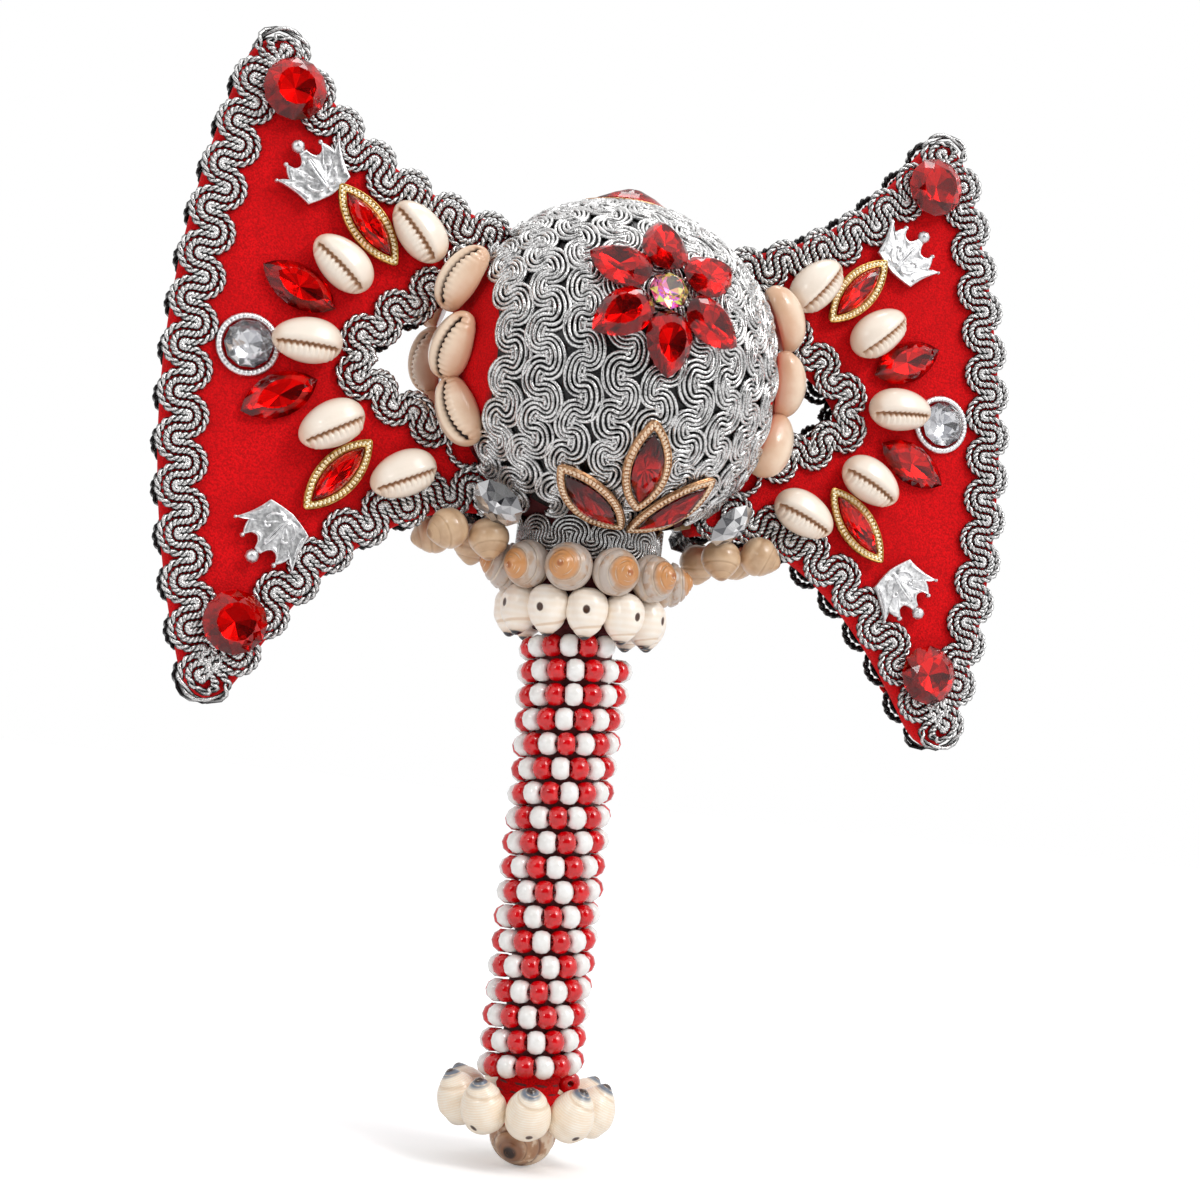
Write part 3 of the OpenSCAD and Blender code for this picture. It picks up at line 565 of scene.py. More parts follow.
def meander(total, waves, swing, step, bow=1.6, first=0.0):
    """Waves along a guide: the heading is bow times the cosine of the phase, summed up and scaled to fit.
    Returns places along and across the guide at even steps, the directions across the cord, and its run."""
    phase = first + np.linspace(0, 2 * np.pi * waves, int(160 * waves) + 1)
    along, across = np.cumsum(np.cos(bow * np.cos(phase))), np.cumsum(np.sin(bow * np.cos(phase)))
    along = (along - along[0]) * total / (along[-1] - along[0])
    across = (across - (across.max() + across.min()) / 2) * swing / np.ptp(across)
    line = np.stack([along, across], axis=1)
    line, run = even(line, int(even(line, 2)[1][-1] / step))
    way = unit(np.gradient(line, axis=0))
    return line, np.stack([-way[:, 1], way[:, 0]], axis=1), run


def tubes(lines, up, wide, tall, sides, closed=False):
    """Cords along lines (lines, points, 3): their sections are ellipses, wide across and tall along up."""
    ahead, behind = np.roll(lines, -1, axis=1), np.roll(lines, 1, axis=1)
    if not closed:
        ahead[:, -1], behind[:, 0] = lines[:, -1], lines[:, 0]
    way = unit(ahead - behind)
    side = unit(np.cross(way, up))
    top = np.cross(side, way)
    phi = np.linspace(0, 2 * np.pi, sides + 1)[:, None]
    wide, tall = (np.broadcast_to(size, lines.shape[:2])[..., None, None] for size in (wide, tall))
    grid = lines[:, :, None] + wide * np.cos(phi) * side[:, :, None] + tall * np.sin(phi) * top[:, :, None]
    # Each point keeps the sine of its angle round the section, which the cord material paints as light on top
    # and shade below.
    grid = with_value(grid, np.sin(phi[:, 0]))
    if closed:
        return np.concatenate([grid, grid[:, :1]], axis=1)
    grid[:, 0, :, :3], grid[:, -1, :, :3] = lines[:, :1], lines[:, -1:]
    return grid


print("points on a blade's outline:", len(blade_path(0, 16)))

# %% [markdown]
# ## Braid on the blades
# Three pairs of twisted cords run side by side in waves along each edge. Inside a pair, two strands turn
# about each other, so their offset is a small circle that advances with the run of the cord. Where a cord
# would enter the ball, its points are gathered at the ball's surface, so that it ends there.


# %% Braid on the blades
PAIR_STEP, TWIST_PITCH, CORD_RISE = 2.15, 2.6, 0.95  # mm between pairs, along a twist, up to a pair's middle


def laid_on(path, along, across):
    """Points of the blade's plane at places along and across a guide path."""
    guide, run = even(path, 600)
    way = unit(np.gradient(guide, axis=0))
    spot = [np.interp(along, run, values) for values in (*guide.T, *way.T)]
    return spot[0] - across * spot[3], spot[1] + across * spot[2]


def outside_ball(lines, clear):
    """Lines in the head's frame whose ends are gathered where they leave a ball of radius clear."""
    inside = np.linalg.norm(lines, axis=-1) < clear
    count = lines.shape[1]
    at = np.arange(count)
    first = np.where(inside & (at < count // 2), at + 1, 0).max(axis=1)
    last = np.where(inside & (at >= count // 2), at - 1, count - 1).min(axis=1)
    picked = np.clip(at[None], first[:, None], last[:, None])
    return np.take_along_axis(lines, picked[..., None], axis=1)


def twisted_braid(path, wave, width):
    """Grids of the two-ply cords of one braid, in the frame of the right blade's front."""
    total = even(path, 2)[1][-1]
    line, across, run = meander(total, max(round(total / wave), 1), width - 6.4, 0.37)
    phase = 2 * np.pi * run / TWIST_PITCH + np.array([0, np.pi])[:, None]
    offset = (PAIR_STEP * np.array([-1, 0, 1])[:, None, None] + 0.53 * np.cos(phase)).reshape(-1, len(run))
    lift = np.tile(0.49 * np.sin(phase), (3, 1))
    x, z = laid_on(path, line[:, 0] + offset * across[:, 0], line[:, 1] + offset * across[:, 1])
    strands = np.stack([x, -(BRAID_SEAT + CORD_RISE + lift), z - BLADE_DROP], axis=-1)
    strands = outside_ball(strands, BALL_R + 0.6)
    grid = tubes(strands, np.array([0, -1.0, 0]), 0.55, 0.47, 4)
    # The lift value is each point's height over its pair's middle: it paints the tops bright and the hollows
    # dark.
    grid[..., 3] = (-grid[..., 1] - BRAID_SEAT - CORD_RISE) / 0.96
    grid[..., 2] += BLADE_DROP
    return grid


BRAIDS = {"edge_braid": twisted_braid(blade_path(6.2, 6.7), 12, 14.2),
          "window_braid": twisted_braid(window_path(3.6), 12, 13.0)}
for side, blade in BLADES.items():
    for kind, grid in BRAIDS.items():
        for face, mirror in FACES.items():
            piece = grid_piece(f"{side}_{kind}_{face}", [carried(grid, blade @ mirror)], f"{side}_{kind}",
                               BLADE_CORD)
            print(piece.name, len(piece.data.polygons), "faces")

# %% [markdown]
# ## Braid on the ball and round the neck
# The ball's nine columns are circles of latitude about the X axis, like the slices of an orange laid on
# its side. A place along a column becomes an angle round that axis, and a place across it becomes
# latitude. All columns have the same phase at the front, so the waves of one column fit into the bays of
# the next.

# %% Braid on the ball and round the neck
COLUMN_HALF, COLUMN_STEP = 6.06, 12.36  # degrees of latitude
COLUMN_WAVE, SHADED_GROUND_R, ARM_X = 11.6, 46.5, 22  # mm: a wave, the ground sheet darkened with painted shade, where a blade's arm begins
NECK_CLEAR, NECK_R, NECK_Z = 20.3, 19.5, 84.6  # mm


def column_spans(middle):
    """Start and end angles of a column's runs: they stop at the neck and at the blades' arms."""
    near = SKIN_R * math.sin(math.radians(max(abs(middle) - COLUMN_HALF, 0)))
    far = SKIN_R * math.cos(math.radians(abs(middle) + COLUMN_HALF))
    foot = math.degrees(math.asin(math.sqrt(max(NECK_CLEAR ** 2 - near ** 2, 0)) / far))
    arm = math.degrees(math.asin(SHELL_SEAT / far)) if near > ARM_X else 0
    low = max(foot, arm)
    return [(low, 180 - arm), (180 + arm, 360 - low)] if arm else [(low, 360 - low)]


def facing(tilt, angle):
    """Directions from the ball's centre: tilt is the latitude about X, angle runs round X from below."""
    return np.stack([np.sin(tilt), np.cos(tilt) * np.sin(angle), -np.cos(tilt) * np.cos(angle)], axis=-1)


def column_braid(middle):
    """Grids of one column in the head's frame: a ground sheet darkened with painted shade, and five cords in
    waves on it.
    """
    grids = []
    small = COLUMN_R * math.cos(math.radians(middle))
    for start, end in column_spans(middle):
        total = math.radians(end - start) * small
        front = math.radians((270 if end > 270 else 90) - start) * small
        waves, first = total / COLUMN_WAVE, -2 * np.pi * front / COLUMN_WAVE
        line, across, run = meander(total, waves, 5.9, 0.6, 1.75, first)
        line[:, 0] += 0.9 * np.sin(run * 0.07 + middle)
        line[:, 1] += 0.5 * np.sin(run * 0.11 + middle) + 0.4 * np.sin(run * 0.31 + 2 * middle)
        offset = np.linspace(-2.5, 2.5, 5)[:, None] * (1 + 0.12 * np.sin(run * 0.23 + 3 * middle))
        angle = math.radians(start) + (line[:, 0] + offset * across[:, 0]) / small
        tilt = math.radians(middle) + (line[:, 1] + offset * across[:, 1]) / COLUMN_R
        lift = 0.22 * np.sin(run * 0.8 + 3 * offset) - 0.1 * np.abs(offset)
        out = facing(tilt, angle)
        cords = tubes((COLUMN_R + lift)[..., None] * out, out, 0.52, 0.95, 6)
        # Painted glints: the lift value swings up and down along each cord.
        cords[..., 3] += 0.45 * np.sin(run * 1.3 + 5 * offset)[..., None]
        strip = facing(*np.meshgrid(np.radians(middle + np.linspace(-1, 1, 7) * COLUMN_HALF),
                                    np.radians(np.linspace(start, end, 80))))
        # Painted shade: the ground's lift of -0.45 makes the cord material dark grey between the cords.
        grids += [cords, with_value(SHADED_GROUND_R * strip, -0.45)[None]]
    return grids


for number in range(1, 10):
    grids = [carried(grid, HEAD) for grid in column_braid((number - 5) * COLUMN_STEP)]
    grid_piece(f"ball_braid_cords_{number}", grids, f"ball_braid_{number}", BALL_CORD)

line, across, run = meander(2 * np.pi * NECK_R, 11, 6.4, 0.5, 1.75)
around, height = (line + np.linspace(-2.2, 2.2, 5)[:, None, None] * across).transpose(2, 0, 1)
out = about_z(1, around / NECK_R, 0)
neck_lines = NECK_R * out + (NECK_Z + height)[..., None] * UP
neck_cords = tubes(neck_lines, out, 0.5, 0.62, 6)
grid_piece("neck_braid_cords", [neck_cords], "neck_braid", NECK_CORD)
print("columns of braid on the ball: 9")

# %% [markdown]
# ## Cloth
# The cloth of a blade is stretched between two lines: the blade's outline and the window's. Across it
# runs a flat loop with round ends, so the cloth goes over the front, round the window's edge, over the
# back and round the outer edge. A little unevenness keeps the light moving on it.


# %% Cloth
def blade_cloth():
    """A ruled band between outline and window, with a loop across: flat faces and half round edges."""
    edge_r, half_thick = 2.4, 3.78
    outer, inner = even(blade_path(3.4, 16), 160)[0], even(window_path(2.6), 160)[0]
    edge = np.linspace(-np.pi / 2, np.pi / 2, 7)
    flat = np.linspace(0, 1, 15)[1:-1]
    share = np.concatenate([0 * edge, flat, 0 * edge + 1, flat[::-1]])
    swell = np.concatenate([-np.cos(edge), 0 * flat, np.cos(edge), 0 * flat])
    deep = np.concatenate([-np.sin(edge), 0 * flat - 1, np.sin(edge), 0 * flat + 1])
    share, swell, deep = (np.append(values, values[0]) for values in (share, swell, deep))
    out, into = (unit(np.gradient(path, axis=0)[:, ::-1] * [1, -1]) for path in (outer, inner))
    cross = np.where(share[:, None] < 0.5, out[:, None], into[:, None])
    spot = outer[:, None] + (inner - outer)[:, None] * share[:, None] + cross * swell[:, None] * edge_r
    uneven = 0.12 * np.sin(spot[..., 0] * 0.23 + 1) * np.sin(spot[..., 1] * 0.19)
    grid = np.stack([spot[..., 0], deep * (half_thick + uneven), spot[..., 1]], axis=-1)
    grid[0], grid[-1] = grid[0].mean(axis=0), grid[-1].mean(axis=0)
    return grid


def lathe(profile, sides, ripple=0.0, waves=0):
    """A profile of (radius, height) turned about Z; ripple makes its radius wavy."""
    phi = np.linspace(0, 2 * np.pi, sides + 1)
    radius = profile[:, :1] * (1 + ripple * np.sin(waves * phi + profile[:, 1:] * 2))
    return about_z(radius, phi, profile[:, 1:])


for side, blade in BLADES.items():
    cover = placed(blade_cloth(), [blade])
    grid_piece(f"{side}_blade_cover", [cover], f"{side}_blade_cloth", CLOTH)
rise = np.radians(np.linspace(-63, 90, 60))[:, None]
ball_skin = lathe((BALL_R - 0.1) * np.hstack([np.cos(rise), np.sin(rise)]), 96, 0.002, 7)
wound = np.linspace(0, 1, 40)[:, None]
neck_z = 60.4 + 39 * wound
neck_r = np.where(neck_z < 69.68, 13.0, 18.6) - 0.25 * np.cos(neck_z * 2.6)
end_z = -70.8 + 18 * wound
end_r = 11.1 - 0.2 * np.cos(end_z * 2.6) - 2.75 * np.clip((end_z + 66) / 3, 0, 1) ** 2
neck_wrap, end_wrap = (lathe(np.hstack(wrap), 64, 0.006, 9) for wrap in ((neck_r, neck_z), (end_r, end_z)))
# The ball's cloth and the neck wrap take the cloth with painted shade.
grid_piece("ball_cover", [placed(ball_skin, [HEAD])], "ball_cloth", SHADED_CLOTH)
grid_piece("neck_wrap", [neck_wrap[None]], "neck_collar", SHADED_CLOTH)
grid_piece("end_wrap", [end_wrap[None]], "end_collar", CLOTH)
print("cloth pieces: 5")

# %% [markdown]
# ## Beads
# The beads follow one thread that winds up the handle. The winding's radius grows where the stick grows,
# so the angle of each next bead comes from the one before it: the bead's step divided by the radius.


# %% Beads
WIND_START, WIND_RISE, WIND_TURNS = -60.0, 6.565, 17.828125
BEAD_STEP, BEAD_SEAT = 4.85, 3.05  # mm along the thread, and from the stick to the thread


def stick_r(z):
    """Radius of the stick at a height."""
    return np.interp(z, [22, 60], [8.2, 10.0])


def wind(angle):
    """Radius and height of the winding at an angle in degrees."""
    height = WIND_START + WIND_RISE * angle / 360
    return stick_r(height) + BEAD_SEAT, height


angles, following = [], 0.0
while following <= 360 * WIND_TURNS:
    angles.append(following)
    following += math.degrees(BEAD_STEP / wind(following)[0])
angles = np.array(angles)
radius, height = wind(angles)
slope = np.degrees(np.arctan2(WIND_RISE / (2 * np.pi), radius))
bead_places = np.array([turn("Z", a) @ shift(r, 0, z) @ turn("X", s - 90)
                        for a, r, z, s in zip(angles, radius, height, slope)])
tip = np.radians(np.linspace(-66, 66, 5))[:, None]
barrel = np.hstack([3.2 * np.cos(tip) ** 0.5, 2.55 * np.sin(tip)])
bead = lathe(np.vstack([barrel, [[0.9, 2.2], [0.9, -2.2]], barrel[:1]]), 10)
for first, tone, material in ((0, "red", RED_BEAD), (1, "white", WHITE_BEAD)):
    row = placed(bead, bead_places[first::2])
    grid_piece(f"{tone}_bead_row", [row], f"{tone}_beads", material, sharp=60)
turns = np.linspace(0, angles[-1], 1200)
thread_r, thread_z = wind(turns)
thread = about_z(thread_r, np.radians(turns), thread_z)
grid_piece("bead_string", [tubes(thread[None], UP, 0.45, 0.45, 6)], "bead_thread", THREAD)
print("beads:", len(angles))

# %% [markdown]
# ## Cowries
# A cowrie is a ball stretched along X. Its radius is lowered in a groove for the slit, raised at the
# lips, and made wavy beside the slit for the teeth. The same formulas also give the values that colour
# the rim and paint shade into the slit and between the teeth.


# %% Cowries
TOOTH_PITCH = 1.5
FAN_X, FAN_Z, FAN_R = 52, 4.5, 32.8


def cowrie(length, width, height, teeth=1.0):
    """A cowrie on its flat back: circles about X, lowered at the slit and waved at the teeth."""
    u = -np.cos(np.linspace(0, np.pi, 71))[:, None]
    psi = np.linspace(-1, 1, 53)[None]
    psi = np.pi * (0.35 * psi + 0.65 * psi ** 3)
    r = width / 2 * np.sqrt(np.clip(1 - u ** 2, 0, 1)) * (1 - 0.1 * u)
    across = r * np.sin(psi) + 0.19 * width - 0.05 * width * u
    fade = np.clip((0.93 - np.abs(u)) / 0.12, 0, 1) * (np.cos(psi) > 0)
    tooth = np.cos(np.pi * u * length / TOOTH_PITCH)
    zigzag = across + 0.28 * teeth * tooth
    groove = fade * np.exp(-(zigzag / np.where(across < 0, 0.5, 0.7)) ** 2)
    lips = fade * np.exp(-((np.abs(across) - 2.0) / 1.0) ** 2)
    reach = np.where(across < 0, 1.3, 0.8)
    beside = fade * np.exp(-((np.abs(across) - reach) / 0.8) ** 2) * np.where(across < 0, 1.0, 0.5) * teeth
    comb = (0.5 + 0.5 * tooth) ** 1.5
    out = r + 0.35 * lips - 2.2 * groove - 0.75 * beside * comb
    x, z = u * length / 2 + 0 * psi, np.maximum(height - width / 2 + out * np.cos(psi), 0.02)
    # Painted shade: the slit value is high in the groove and between the teeth.
    slit = np.clip(groove + 0.4 * beside * comb, 0, 1)
    rim = np.clip(1 - (z / height), 0, 1) + 0.5 * np.abs(u) ** 6
    return with_value(np.stack([x, out * np.sin(psi), z], axis=-1), slit, rim)


spread = np.radians([81, 40.5, 0, -40.5, -81])
fan_spots = list(zip(FAN_X + FAN_R * np.cos(spread), FAN_Z + FAN_R * np.sin(spread), (47, 38, 0, -31, -27)))
for side in BLADES:
    fan = placed(cowrie(18.6, 12, 8.4), on_faces(side, fan_spots, SHELL_SEAT))
    grid_piece(f"{side}_cowrie_fan", [fan], f"{side}_blade_cowries", CREAM_COWRIE)
    sign = -1 if side == "left" else 1
    side_places = [on_ball(sign * around, rise, 90 + sign * tilt, 0, seat) for around in (74.6, 105.4)
                   for rise, tilt, seat in ((22, 26, SEAT_R), (1, 34, SKIN_R), (-19.5, -14, SKIN_R))]
    grid_piece(f"{side}_ball_cowries", [placed(cowrie(19.6, 12.4, 8.6, 0.8), side_places)],
               f"{side}_side_cowries", PINK_COWRIE)
print("cowries: 32")

# %% [markdown]
# ## Spiral shells
# A spiral shell grows by the same factor every turn. So the groove between its whorls lies where the
# logarithm of the distance from the tip, counted in growth steps, minus the turn round the axis is a
# whole number. One profile turned about Z and cut by that groove gives a turban, a whelk or a snail.


# %% Spiral shells
def spiral_shell(r, profile, growth, depth, hole=None):
    """A shell with its tip towards +Z: a profile (radius, height) in shares of r, from tip to foot, turned.
    The groove's depth is a share of the radius. A hole is its place along the profile, on the -Y side."""
    along = np.linspace(0, 1, 46)[:, None] ** 1.2
    at = np.linspace(0, 1, len(profile))
    radius, height = (r * np.interp(along[:, 0], at, values)[:, None] for values in profile.T)
    angle = np.linspace(0, 2 * np.pi, 57)
    whorl = (np.log(np.maximum(along, 0.004)) / math.log(growth) - angle / (2 * np.pi)) % 1
    seam = 2 * np.minimum(whorl, 1 - whorl)
    drilled = 0 * seam
    if hole:
        beside, over = radius * (angle - 1.5 * np.pi), (along - hole) * 3 * r
        drilled = np.exp(-(beside ** 2 + over ** 2) / 1.7)
    out = radius * (1 - depth * np.exp(-(seam / 0.22) ** 2) * (1 - along) ** 0.3) - 0.8 * drilled
    return with_value(about_z(out, angle, height), along, seam, drilled)


STICK_END = -71.15  # mm: the cap is flat where it meets the end of the stick
polar = np.linspace(0, math.radians(168), 80)
globe = np.stack([np.sin(polar), 0.94 * np.cos(polar) + 0.24 * np.exp(-(polar / 0.5) ** 2)], axis=1)
egg = np.stack([np.sin(polar) ** 0.85 * (1 - 0.13 * np.cos(polar)),
                1.16 * np.cos(polar) + 0.2 * np.exp(-(polar / 0.3) ** 2)], axis=1)
lean = rng.uniform(-12, 12, (11, 3))
turbans = [place @ turn("X", 90 + a) @ turn("Y", b) @ turn("Z", 9 * c)
           for place, (a, b, c) in zip(ring(11, 22.11, 76.2, 4), lean)]
whelks = [place @ turn("X", a / 2) @ flip("Z") @ turn("Z", b)
          for place, (a, b, _) in zip(ring(11, 18.56, 65.0, 20.36), lean)]
ends = [place @ turn("X", 30 + a / 2) @ turn("Z", b)
        for place, (a, b, _) in zip(ring(9, 18.09, -66.2, -14), lean)]
snails = [place @ turn("X", 75) for side in BLADES
          for place in on_faces(side, [(33, -42.4, 0), (44, -41, 70)], 8.7)]
SHELLS = [("turban_ring", (6.45, globe, 1.55, 0.17), turbans, "turban_shells", "pearly_shell", TURBAN),
          ("whelk_ring", (5.6, egg, 2.8, 0.06, 0.55), whelks, "whelk_shells", "cream_shell", WHELK),
          ("end_ring", (6.05, egg, 2.8, 0.07, 0.72), ends, "end_ring_shells", "cream_shell", RIBBED),
          ("root_snails", (5.5, globe, 1.8, 0.05), snails, "root_snail_shells", "brown_shell", SNAIL)]
for name, sizes, places, node, slot, material in SHELLS:
    grid_piece(name, [placed(spiral_shell(*sizes), places)], node, material)
spire = Vector((-3.15, -4.5, -2.7)).to_track_quat("Z", "Y").to_matrix().to_4x4()
cap_grid = placed(spiral_shell(9.1, globe, 1.8, 0.08), [shift(0, 0, -73.7) @ np.array(spire)])
cap_grid[..., 2] = np.minimum(cap_grid[..., 2], STICK_END)
grid_piece("end_cap", [cap_grid], "end_cap_shell", CAP)
print("spiral shells:", 11 + 11 + 9 + 8 + 1)

# %% [markdown]
# ## Cut stones
# A cut stone is made of flat triangles between rings of points: the table on top, a middle ring half a
# step round, the girdle, and a point below. Light goes in through the glass of the crown, meets the
# mirror foil behind the lower facets and comes out again, and that makes the sparkle. Each facet carries
# its own value for the foil's tone.


# %% Cut stones
GIRDLE = 0.4  # the girdle's share of a stone's height


def gem(outline, height, table=0.56):
    """Points, triangles and a count of crown facets of a cut stone over an outline (n, 2)."""
    n = len(outline)
    half = (outline + np.roll(outline, -1, axis=0)) / 2
    girdle = GIRDLE * height
    rings = [(outline * table, height), (half * (table + 1) / 2 * 1.02, girdle + (height - girdle) * 0.58),
             (outline, girdle), (outline * 0.985, girdle - 0.3), (half * 0.5, girdle * 0.4)]
    points = np.vstack([np.column_stack([ring_xy, np.full(n, z)]) for ring_xy, z in rings]
                       + [[[0, 0, height]], [[0, 0, 0.02]]])
    i = np.arange(n)
    j, back = (i + 1) % n, (i - 1) % n
    t, m, g, w, p = (k * n for k in range(5))
    top, bottom = np.full(n, 5 * n), np.full(n, 5 * n + 1)
    crown = [(top, t + i, t + j), (t + i, m + i, t + j), (t + i, m + back, m + i), (m + back, g + i, m + i),
             (g + i, g + j, m + i)]
    foil = [(g + i, w + i, g + j), (g + j, w + i, w + j), (w + i, p + i, w + j), (w + i, p + back, p + i),
            (p + i, bottom, p + j)]
    triangles = np.concatenate([np.stack(corners, axis=1) for corners in crown + foil])
    return points, triangles, len(crown) * n


def hug(points, r):
    """Points that sink by the square of their distance over 2 r, so that a flat piece follows a ball."""
    sunk = points.copy()
    sunk[..., 2] -= (points[..., :2] ** 2).sum(axis=-1) / (2 * r)
    return sunk


def gem_piece(name, stone, places, node, slot, glass, foil):
    """One piece of equal stones: glass crowns, foil behind, a seeded tone for every facet."""
    shape, triangles, crown = stone
    points = np.concatenate([carried(shape, place) for place in places])
    mirrored = [np.linalg.det(place[:3, :3]) < 0 for place in places]
    faces = [triangles[:, ::-1 if over else 1] + len(shape) * i for i, over in enumerate(mirrored)]
    obj = add_piece(name, points, np.concatenate(faces), node, [glass, foil])
    behind = np.tile(np.arange(len(triangles)) >= crown, len(places))
    obj.data.polygons.foreach_set("material_index", behind.astype(np.int32))
    tone = obj.data.attributes.new("facet", "FLOAT", "FACE")
    tone.data.foreach_set("value", rng.random(len(obj.data.polygons)))
    obj.data.shade_flat()
    return obj


def oval(length, width, n):
    """An ellipse."""
    t = np.linspace(0, 2 * np.pi, n, endpoint=False)
    return np.stack([length / 2 * np.cos(t), width / 2 * np.sin(t)], axis=1)


def pear(length, width, n):
    """A drop that points to +Y: cosine along; sine times the root of the half angle's cosine across."""
    t = np.linspace(0, 2 * np.pi, n, endpoint=False)
    across = width / 1.724 * np.sin(t) * np.abs(np.cos(t / 2)) ** 0.5
    return np.stack([across, -length / 2 * np.cos(t)], axis=1)


def pointed(length, width, n):
    """Two arcs that meet in points at both ends of X."""
    r = (length ** 2 + width ** 2) / 4 / width
    t = np.arcsin(length / 2 / r) * (2 * np.arange(n) / n - 1)
    arc = np.stack([r * np.sin(t), r * np.cos(t) - r + width / 2], axis=1)
    return np.vstack([arc, -arc])[::-1]


TIPS, LARGE = [(92.6, 70, 0), (98, -70, 0)], [(87.4, 18.8, 26), (90.6, -10.2, -28)]
FRAMED, CLEAR = [(70.6, 37.2, 50), (74, -29.4, -50)], [(99.5, 2.2, 0)]
FLOWERS, PETAL_OUT = [(0, 17), (180, 17)], 13.9
TOP_FRAME, TOP_SINK = (20, 82, 70), 1.5
FANS = [(around + a, rise, heading) for around in (0, 180)
        for a, rise, heading in ((0, -38, 4), (-22, -52, 36), (22, -52, -30))]
OVALS = [(-66, -30, -46), (66, 30, 46), (114, 150, -46), (-114, -150, 46)]  # around, faced and turned
OVAL_RISE, OVAL_TILT, OVAL_OUT = -48, -30, 4
RED, WHITE = ("red_stone", RED_GLASS, RED_FOIL), ("clear_stone", CLEAR_GLASS, CLEAR_FOIL)
WINE, MIRROR = ("red_stone", RED_GLASS, WINE_FOIL), ("clear_stone", MIRROR_FOIL, MIRROR_FOIL)
RAINBOW = "rainbow_stone", CLEAR_GLASS, RAINBOW_FOIL
BLADE_STONES = [
    ("round_stones", "tip_stones", gem(oval(16.8, 16.8, 12), 5.4, 0.6), TIPS, SHELL_SEAT, RED),
    ("pointed_stones", "large_stones", gem(pointed(22, 11.5, 8), 4.4, 0.62), LARGE, BRAID_SEAT, RED),
    ("stones_in_gold", "framed_stones", gem(pointed(19.4, 6.4, 8), 4.4), FRAMED, SHELL_SEAT, RED),
    ("clear_gems", "clear_stones", gem(oval(12.8, 12.8, 10), 5.4, 0.5), CLEAR, BRAID_SEAT, WHITE)]
for side in BLADES:
    for name, node, stone, spots, seat, cut in BLADE_STONES:
        gem_piece(f"{side}_{name}", stone, on_faces(side, spots, seat), f"{side}_{node}", *cut)
for kind, (around, rise) in zip(("front", "back"), FLOWERS):
    petals = [on_ball(around, rise, 60 * i, PETAL_OUT, SEAT_R) for i in range(6)]
    gem_piece(f"{kind}_flower", gem(pear(17.4, 12.6, 14), 4.4, 0.6), petals, f"{kind}_flower_petals", *RED)
middles = [on_ball(around, rise, 0, 0, SEAT_R) for around, rise in FLOWERS]
gem_piece("flower_middles", gem(oval(10.6, 10.6, 8), 4.4), middles, "flower_centres", *RAINBOW)
frame_places = [on_ball(*TOP_FRAME, 0, SEAT_R - TOP_SINK)] + [on_ball(*spot, 0, SEAT_R) for spot in FANS]
frame_places = [place @ turn("Z", 90) for place in frame_places]
points, *facets = gem(pointed(20.6, 8.2, 8), 4.4, 0.2)
gem_piece("stones_in_rose_gold", (hug(points, SEAT_R), *facets), frame_places, "ball_framed_stones", *WINE)
oval_places = np.array([on_ball(faced, OVAL_TILT, heading, 0, SEAT_R) for _, faced, heading in OVALS])
oval_seats = [on_ball(around, OVAL_RISE, 0, 0, SEAT_R + OVAL_OUT) for around, _, _ in OVALS]
oval_places[:, :3, 3] = np.array(oval_seats)[:, :3, 3]
gem_piece("oval_gems", gem(oval(15, 11, 10), 5, 0.3), oval_places, "oval_stones", *MIRROR)
print("cut stones:", 2 * (4 + 4 + 4 + 2) + 12 + 2 + 7 + 4)

# %% [markdown]
# ## Frames, rims and crowns
# Frames and rims carry rows of tiny stones, which are small domes on a rail. A crown is a plate: its rows
# of points run from the middle out to a chain of smooth curves. Raised scrolls lie on it, which are
# `tubes` again, and low domes stand on its points.


# %% Frames, rims and crowns
RIM_R = 7.45
CROWN_MIDDLE = np.array([0, -5.0])
# Each curve takes three points: it leaves the first for the second and arrives at the third.
CROWN_EDGE = np.array([(0, -8.2), (3.4, -7.9), (6.9, -7.0), (7.4, -2.4), (10.2, 2.6), (8.2, 2.0), (7.4, 0.6),
                       (7.0, 3.0), (5.6, 4.6), (4.8, 2.0), (2.6, 2.4), (1.2, 3.4), (1.0, 5.6)])
CROWN_SCROLLS = np.array([[(1.2, -6.2), (5.0, -5.2), (4.2, -2.0)], [(4.2, -2.0), (2.6, 0.2), (2.2, -2.6)],
                          [(6.0, -5.8), (6.6, -3.0), (8.6, 0.4)], [(0, -6.8), (0.8, -2.0), (0, 4.0)]])
CROWN_BALLS = [(0, 6.9, 1.9), (5.6, 4.7, 0.75), (-5.6, 4.7, 0.75), (10.1, 2.6, 0.6), (-10.1, 2.6, 0.6)]


def dome(r, height, shine=0.0):
    """A low dome of a few faces; shine marks a stud."""
    up = np.linspace(0, np.pi / 2, 4)[:, None]
    grid = lathe(np.hstack([r * np.cos(up), height * np.sin(up)]), 8)
    return with_value(grid, np.sin(up) + shine)


def in_places(grids, places):
    """Every grid (copies, rows, columns, 4) at every place."""
    return [np.concatenate([placed(copy, places) for copy in grid]) for grid in grids]


def studded_frame(length, width, studs):
    """A flat pointed rail with a thin bead along both edges and two rows of domes between them."""
    def loop(inset, count):
        path = pointed(length - inset * 1.3, width - inset, 24)
        return even(np.vstack([path, path[:1]]), count + 1)[0][:-1]

    sizes = (2.0, 0.55, 1.15, 0.55), (0.3, 1.15, 0.26, 0.3), (3.7, 1.15, 0.26, 0.3)
    rails = [tubes(np.column_stack([loop(inset, 72), np.full(72, z)])[None], UP, wide, tall, 8, closed=True)
             for inset, z, wide, tall in sizes]
    rows = [[shift(x, y, 1.0) for x, y in loop(inset, studs)] for inset in (1.4, 2.6)]
    return rails + [placed(dome(0.5, 0.45, 2), row) for row in rows]


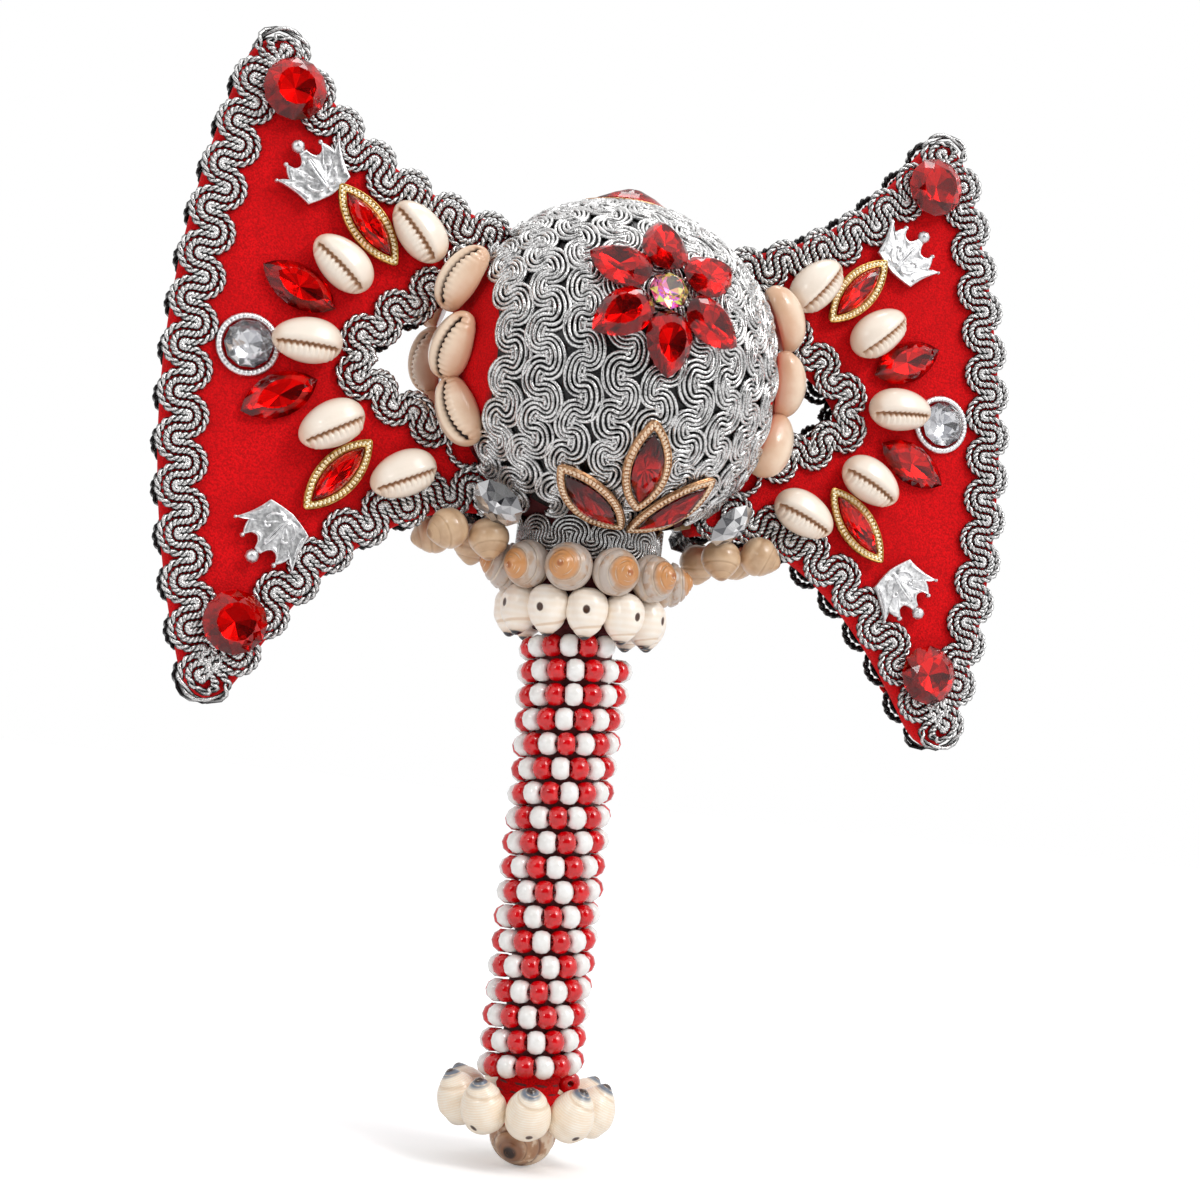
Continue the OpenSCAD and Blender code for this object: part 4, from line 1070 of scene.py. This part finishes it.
def studded_rim():
    """A ring with forty narrow domes that point to its middle."""
    t = np.linspace(0, 2 * np.pi, 64, endpoint=False)
    rail = tubes(about_z(RIM_R, t, 0.7)[None], UP, 0.95, 0.7, 8, closed=True)
    studs = [turn("Z", 9 * i) @ shift(RIM_R, 0, 1.0) @ np.diag([1.5, 0.85, 1, 1]) for i in range(40)]
    return [rail, placed(dome(0.6, 0.5, 2), studs)]


def crown():
    """A plate that fans out from its foot to a pointed outline; its left half mirrors the right."""
    right = np.vstack([bend(*CROWN_EDGE[i:i + 3], 9) for i in range(0, len(CROWN_EDGE) - 1, 2)])
    outline = np.vstack([right, right[:0:-1] * (-1, 1), right[:1]])
    share = np.array([0, 0.2, 0.4, 0.6, 0.78, 0.9, 0.96, 1, 1])[:, None, None]
    x, y = np.moveaxis(CROWN_MIDDLE + (outline - CROWN_MIDDLE) * share, -1, 0)
    uneven = np.sin(np.abs(x) * 1.5 + y * 0.9) * np.cos(y * 1.3 - np.abs(x) * 0.5) * (share[..., 0] < 0.9)
    height = np.array([1.15, 1.1, 1.05, 1.0, 0.95, 1.1, 1.15, 0.85, 0])[:, None] + 0.22 * uneven
    grids = [with_value(np.stack([x, y, height], axis=-1), 0.5)[None]]
    for curve in CROWN_SCROLLS:
        path = bend(*curve, 13)
        both = np.stack([np.column_stack([path * (sign, 1), np.full(13, 1.2)]) for sign in (1, -1)])
        grids.append(tubes(both, UP, 0.36, 0.3, 6))
    return grids + [placed(dome(r, 0.9 + 0.5 * r), [shift(x, y, 0)]) for x, y, r in CROWN_BALLS]


CROWNS = [(86, 50.2, -40), (90.2, -47.3, 220)]
BLADE_METAL = [
    ("gold_rails", "gold_frames", studded_frame(26, 10.8, 44), FRAMED, SHELL_SEAT, "gold_frame", GOLD),
    ("silver_rims", "clear_rims", studded_rim(), CLEAR, BRAID_SEAT, "silver_charm", CHARM),
    ("crown_charms", "crowns", crown(), CROWNS, SHELL_SEAT, "silver_charm", CHARM)]
for side in BLADES:
    for name, node, grids, spots, seat, slot, material in BLADE_METAL:
        grids = in_places(grids, on_faces(side, spots, seat))
        grid_piece(f"{side}_{name}", grids, f"{side}_{node}", material)
curved = [hug(grid, SEAT_R) for grid in studded_frame(27.97, 12.6, 48)]
grid_piece("rose_gold_rails", in_places(curved, frame_places), "ball_gold_frames", COPPER)
print("frames, rims and crowns ready")

# %% [markdown]
# ## Studio
# The photo was taken on white, with soft light from the upper right. Wide lamps make soft shadows, and
# the floor is pale. The world looks white to the camera and in reflections, and adds a quieter fill to
# everything else.


# %% Studio
def add_lamp(kind, name, place, aim, power, **settings):
    """A lamp at a place in metres that faces a point."""
    data = bpy.data.lights.new(name, kind)
    data.energy = power
    for setting, value in settings.items():
        setattr(data, setting, value)
    lamp = add_object(name, data)
    lamp.location = place
    lamp.rotation_mode = "QUATERNION"
    lamp.rotation_quaternion = (Vector(aim) - Vector(place)).to_track_quat("-Z", "Y")


add_lamp("AREA", "key", (0.5, -0.8, 0.75), (0, 0, 0.1), 2.2, size=0.22)
add_lamp("AREA", "fill", (-0.75, -0.75, 0.45), (0, 0, 0.1), 1.0, size=0.18)
add_lamp("AREA", "top", (0.1, 0.1, 0.95), (0, 0, 0.1), 1.6, size=0.3)
add_lamp("SUN", "window_light", (0, 0, 0), (-0.45, 0.6, -0.7), 0.9, angle=math.radians(35))

world = bpy.data.worlds.new("studio")
world.use_nodes = True
bpy.context.scene.world = world
sky = Graph(world.node_tree)
seen, through, mirrored = (sky.node("LightPath", {}, {}, f"Is {ray} Ray")
                           for ray in ("Camera", "Transmission", "Glossy"))
bright = seen.math("MAXIMUM", seen.math("MAXIMUM", seen, through), mirrored)
tone = sky.mix(bright, (0.55, 0.55, 0.56, 1), (1, 1, 1, 1))
sky.put(world.node_tree.nodes["Background"].inputs["Color"], tone)


def stage_plane(name, corners, looks, low_tone, high_tone, **wires):
    """A plane of the studio with a faint cloudy tone."""
    mesh = bpy.data.meshes.new(name)
    mesh.from_pydata(corners, [], [(0, 1, 2, 3)])
    tone = looks.mix(looks.noise(300.0), low_tone, high_tone)
    mesh.materials.append(looks.feed(Base_Color=tone, **wires))
    plane = add_object(name, mesh)
    return plane


floor_looks = Looks("floor", Roughness=0.9, Emission_Strength=0.3)
lit = floor_looks.node("LightPath", {}, {}, "Is Camera Ray")
floor_z = box_loaded[0][2]
stage_plane("floor", [(x, y, floor_z) for x, y in ((-9, -9), (9, -9), (9, 9), (-9, 9))], floor_looks,
            (0.93, 0.93, 0.93, 1), (0.96, 0.96, 0.96, 1), Emission_Color=lit)
card_corners = [(-1.5, -1.3, -0.7), (0.6, -1.6, -0.7), (0.6, -1.6, 1.2), (-1.5, -1.3, 1.2)]
card = stage_plane("dark_card", card_corners, Looks("dark_card", Roughness=0.9),
                   (0.03, 0.03, 0.03, 1), (0.05, 0.05, 0.05, 1))
card.visible_camera = card.visible_diffuse = card.visible_shadow = False
bpy.context.scene.view_settings.view_transform = "Standard"
print("lamps:", len(bpy.data.lights))
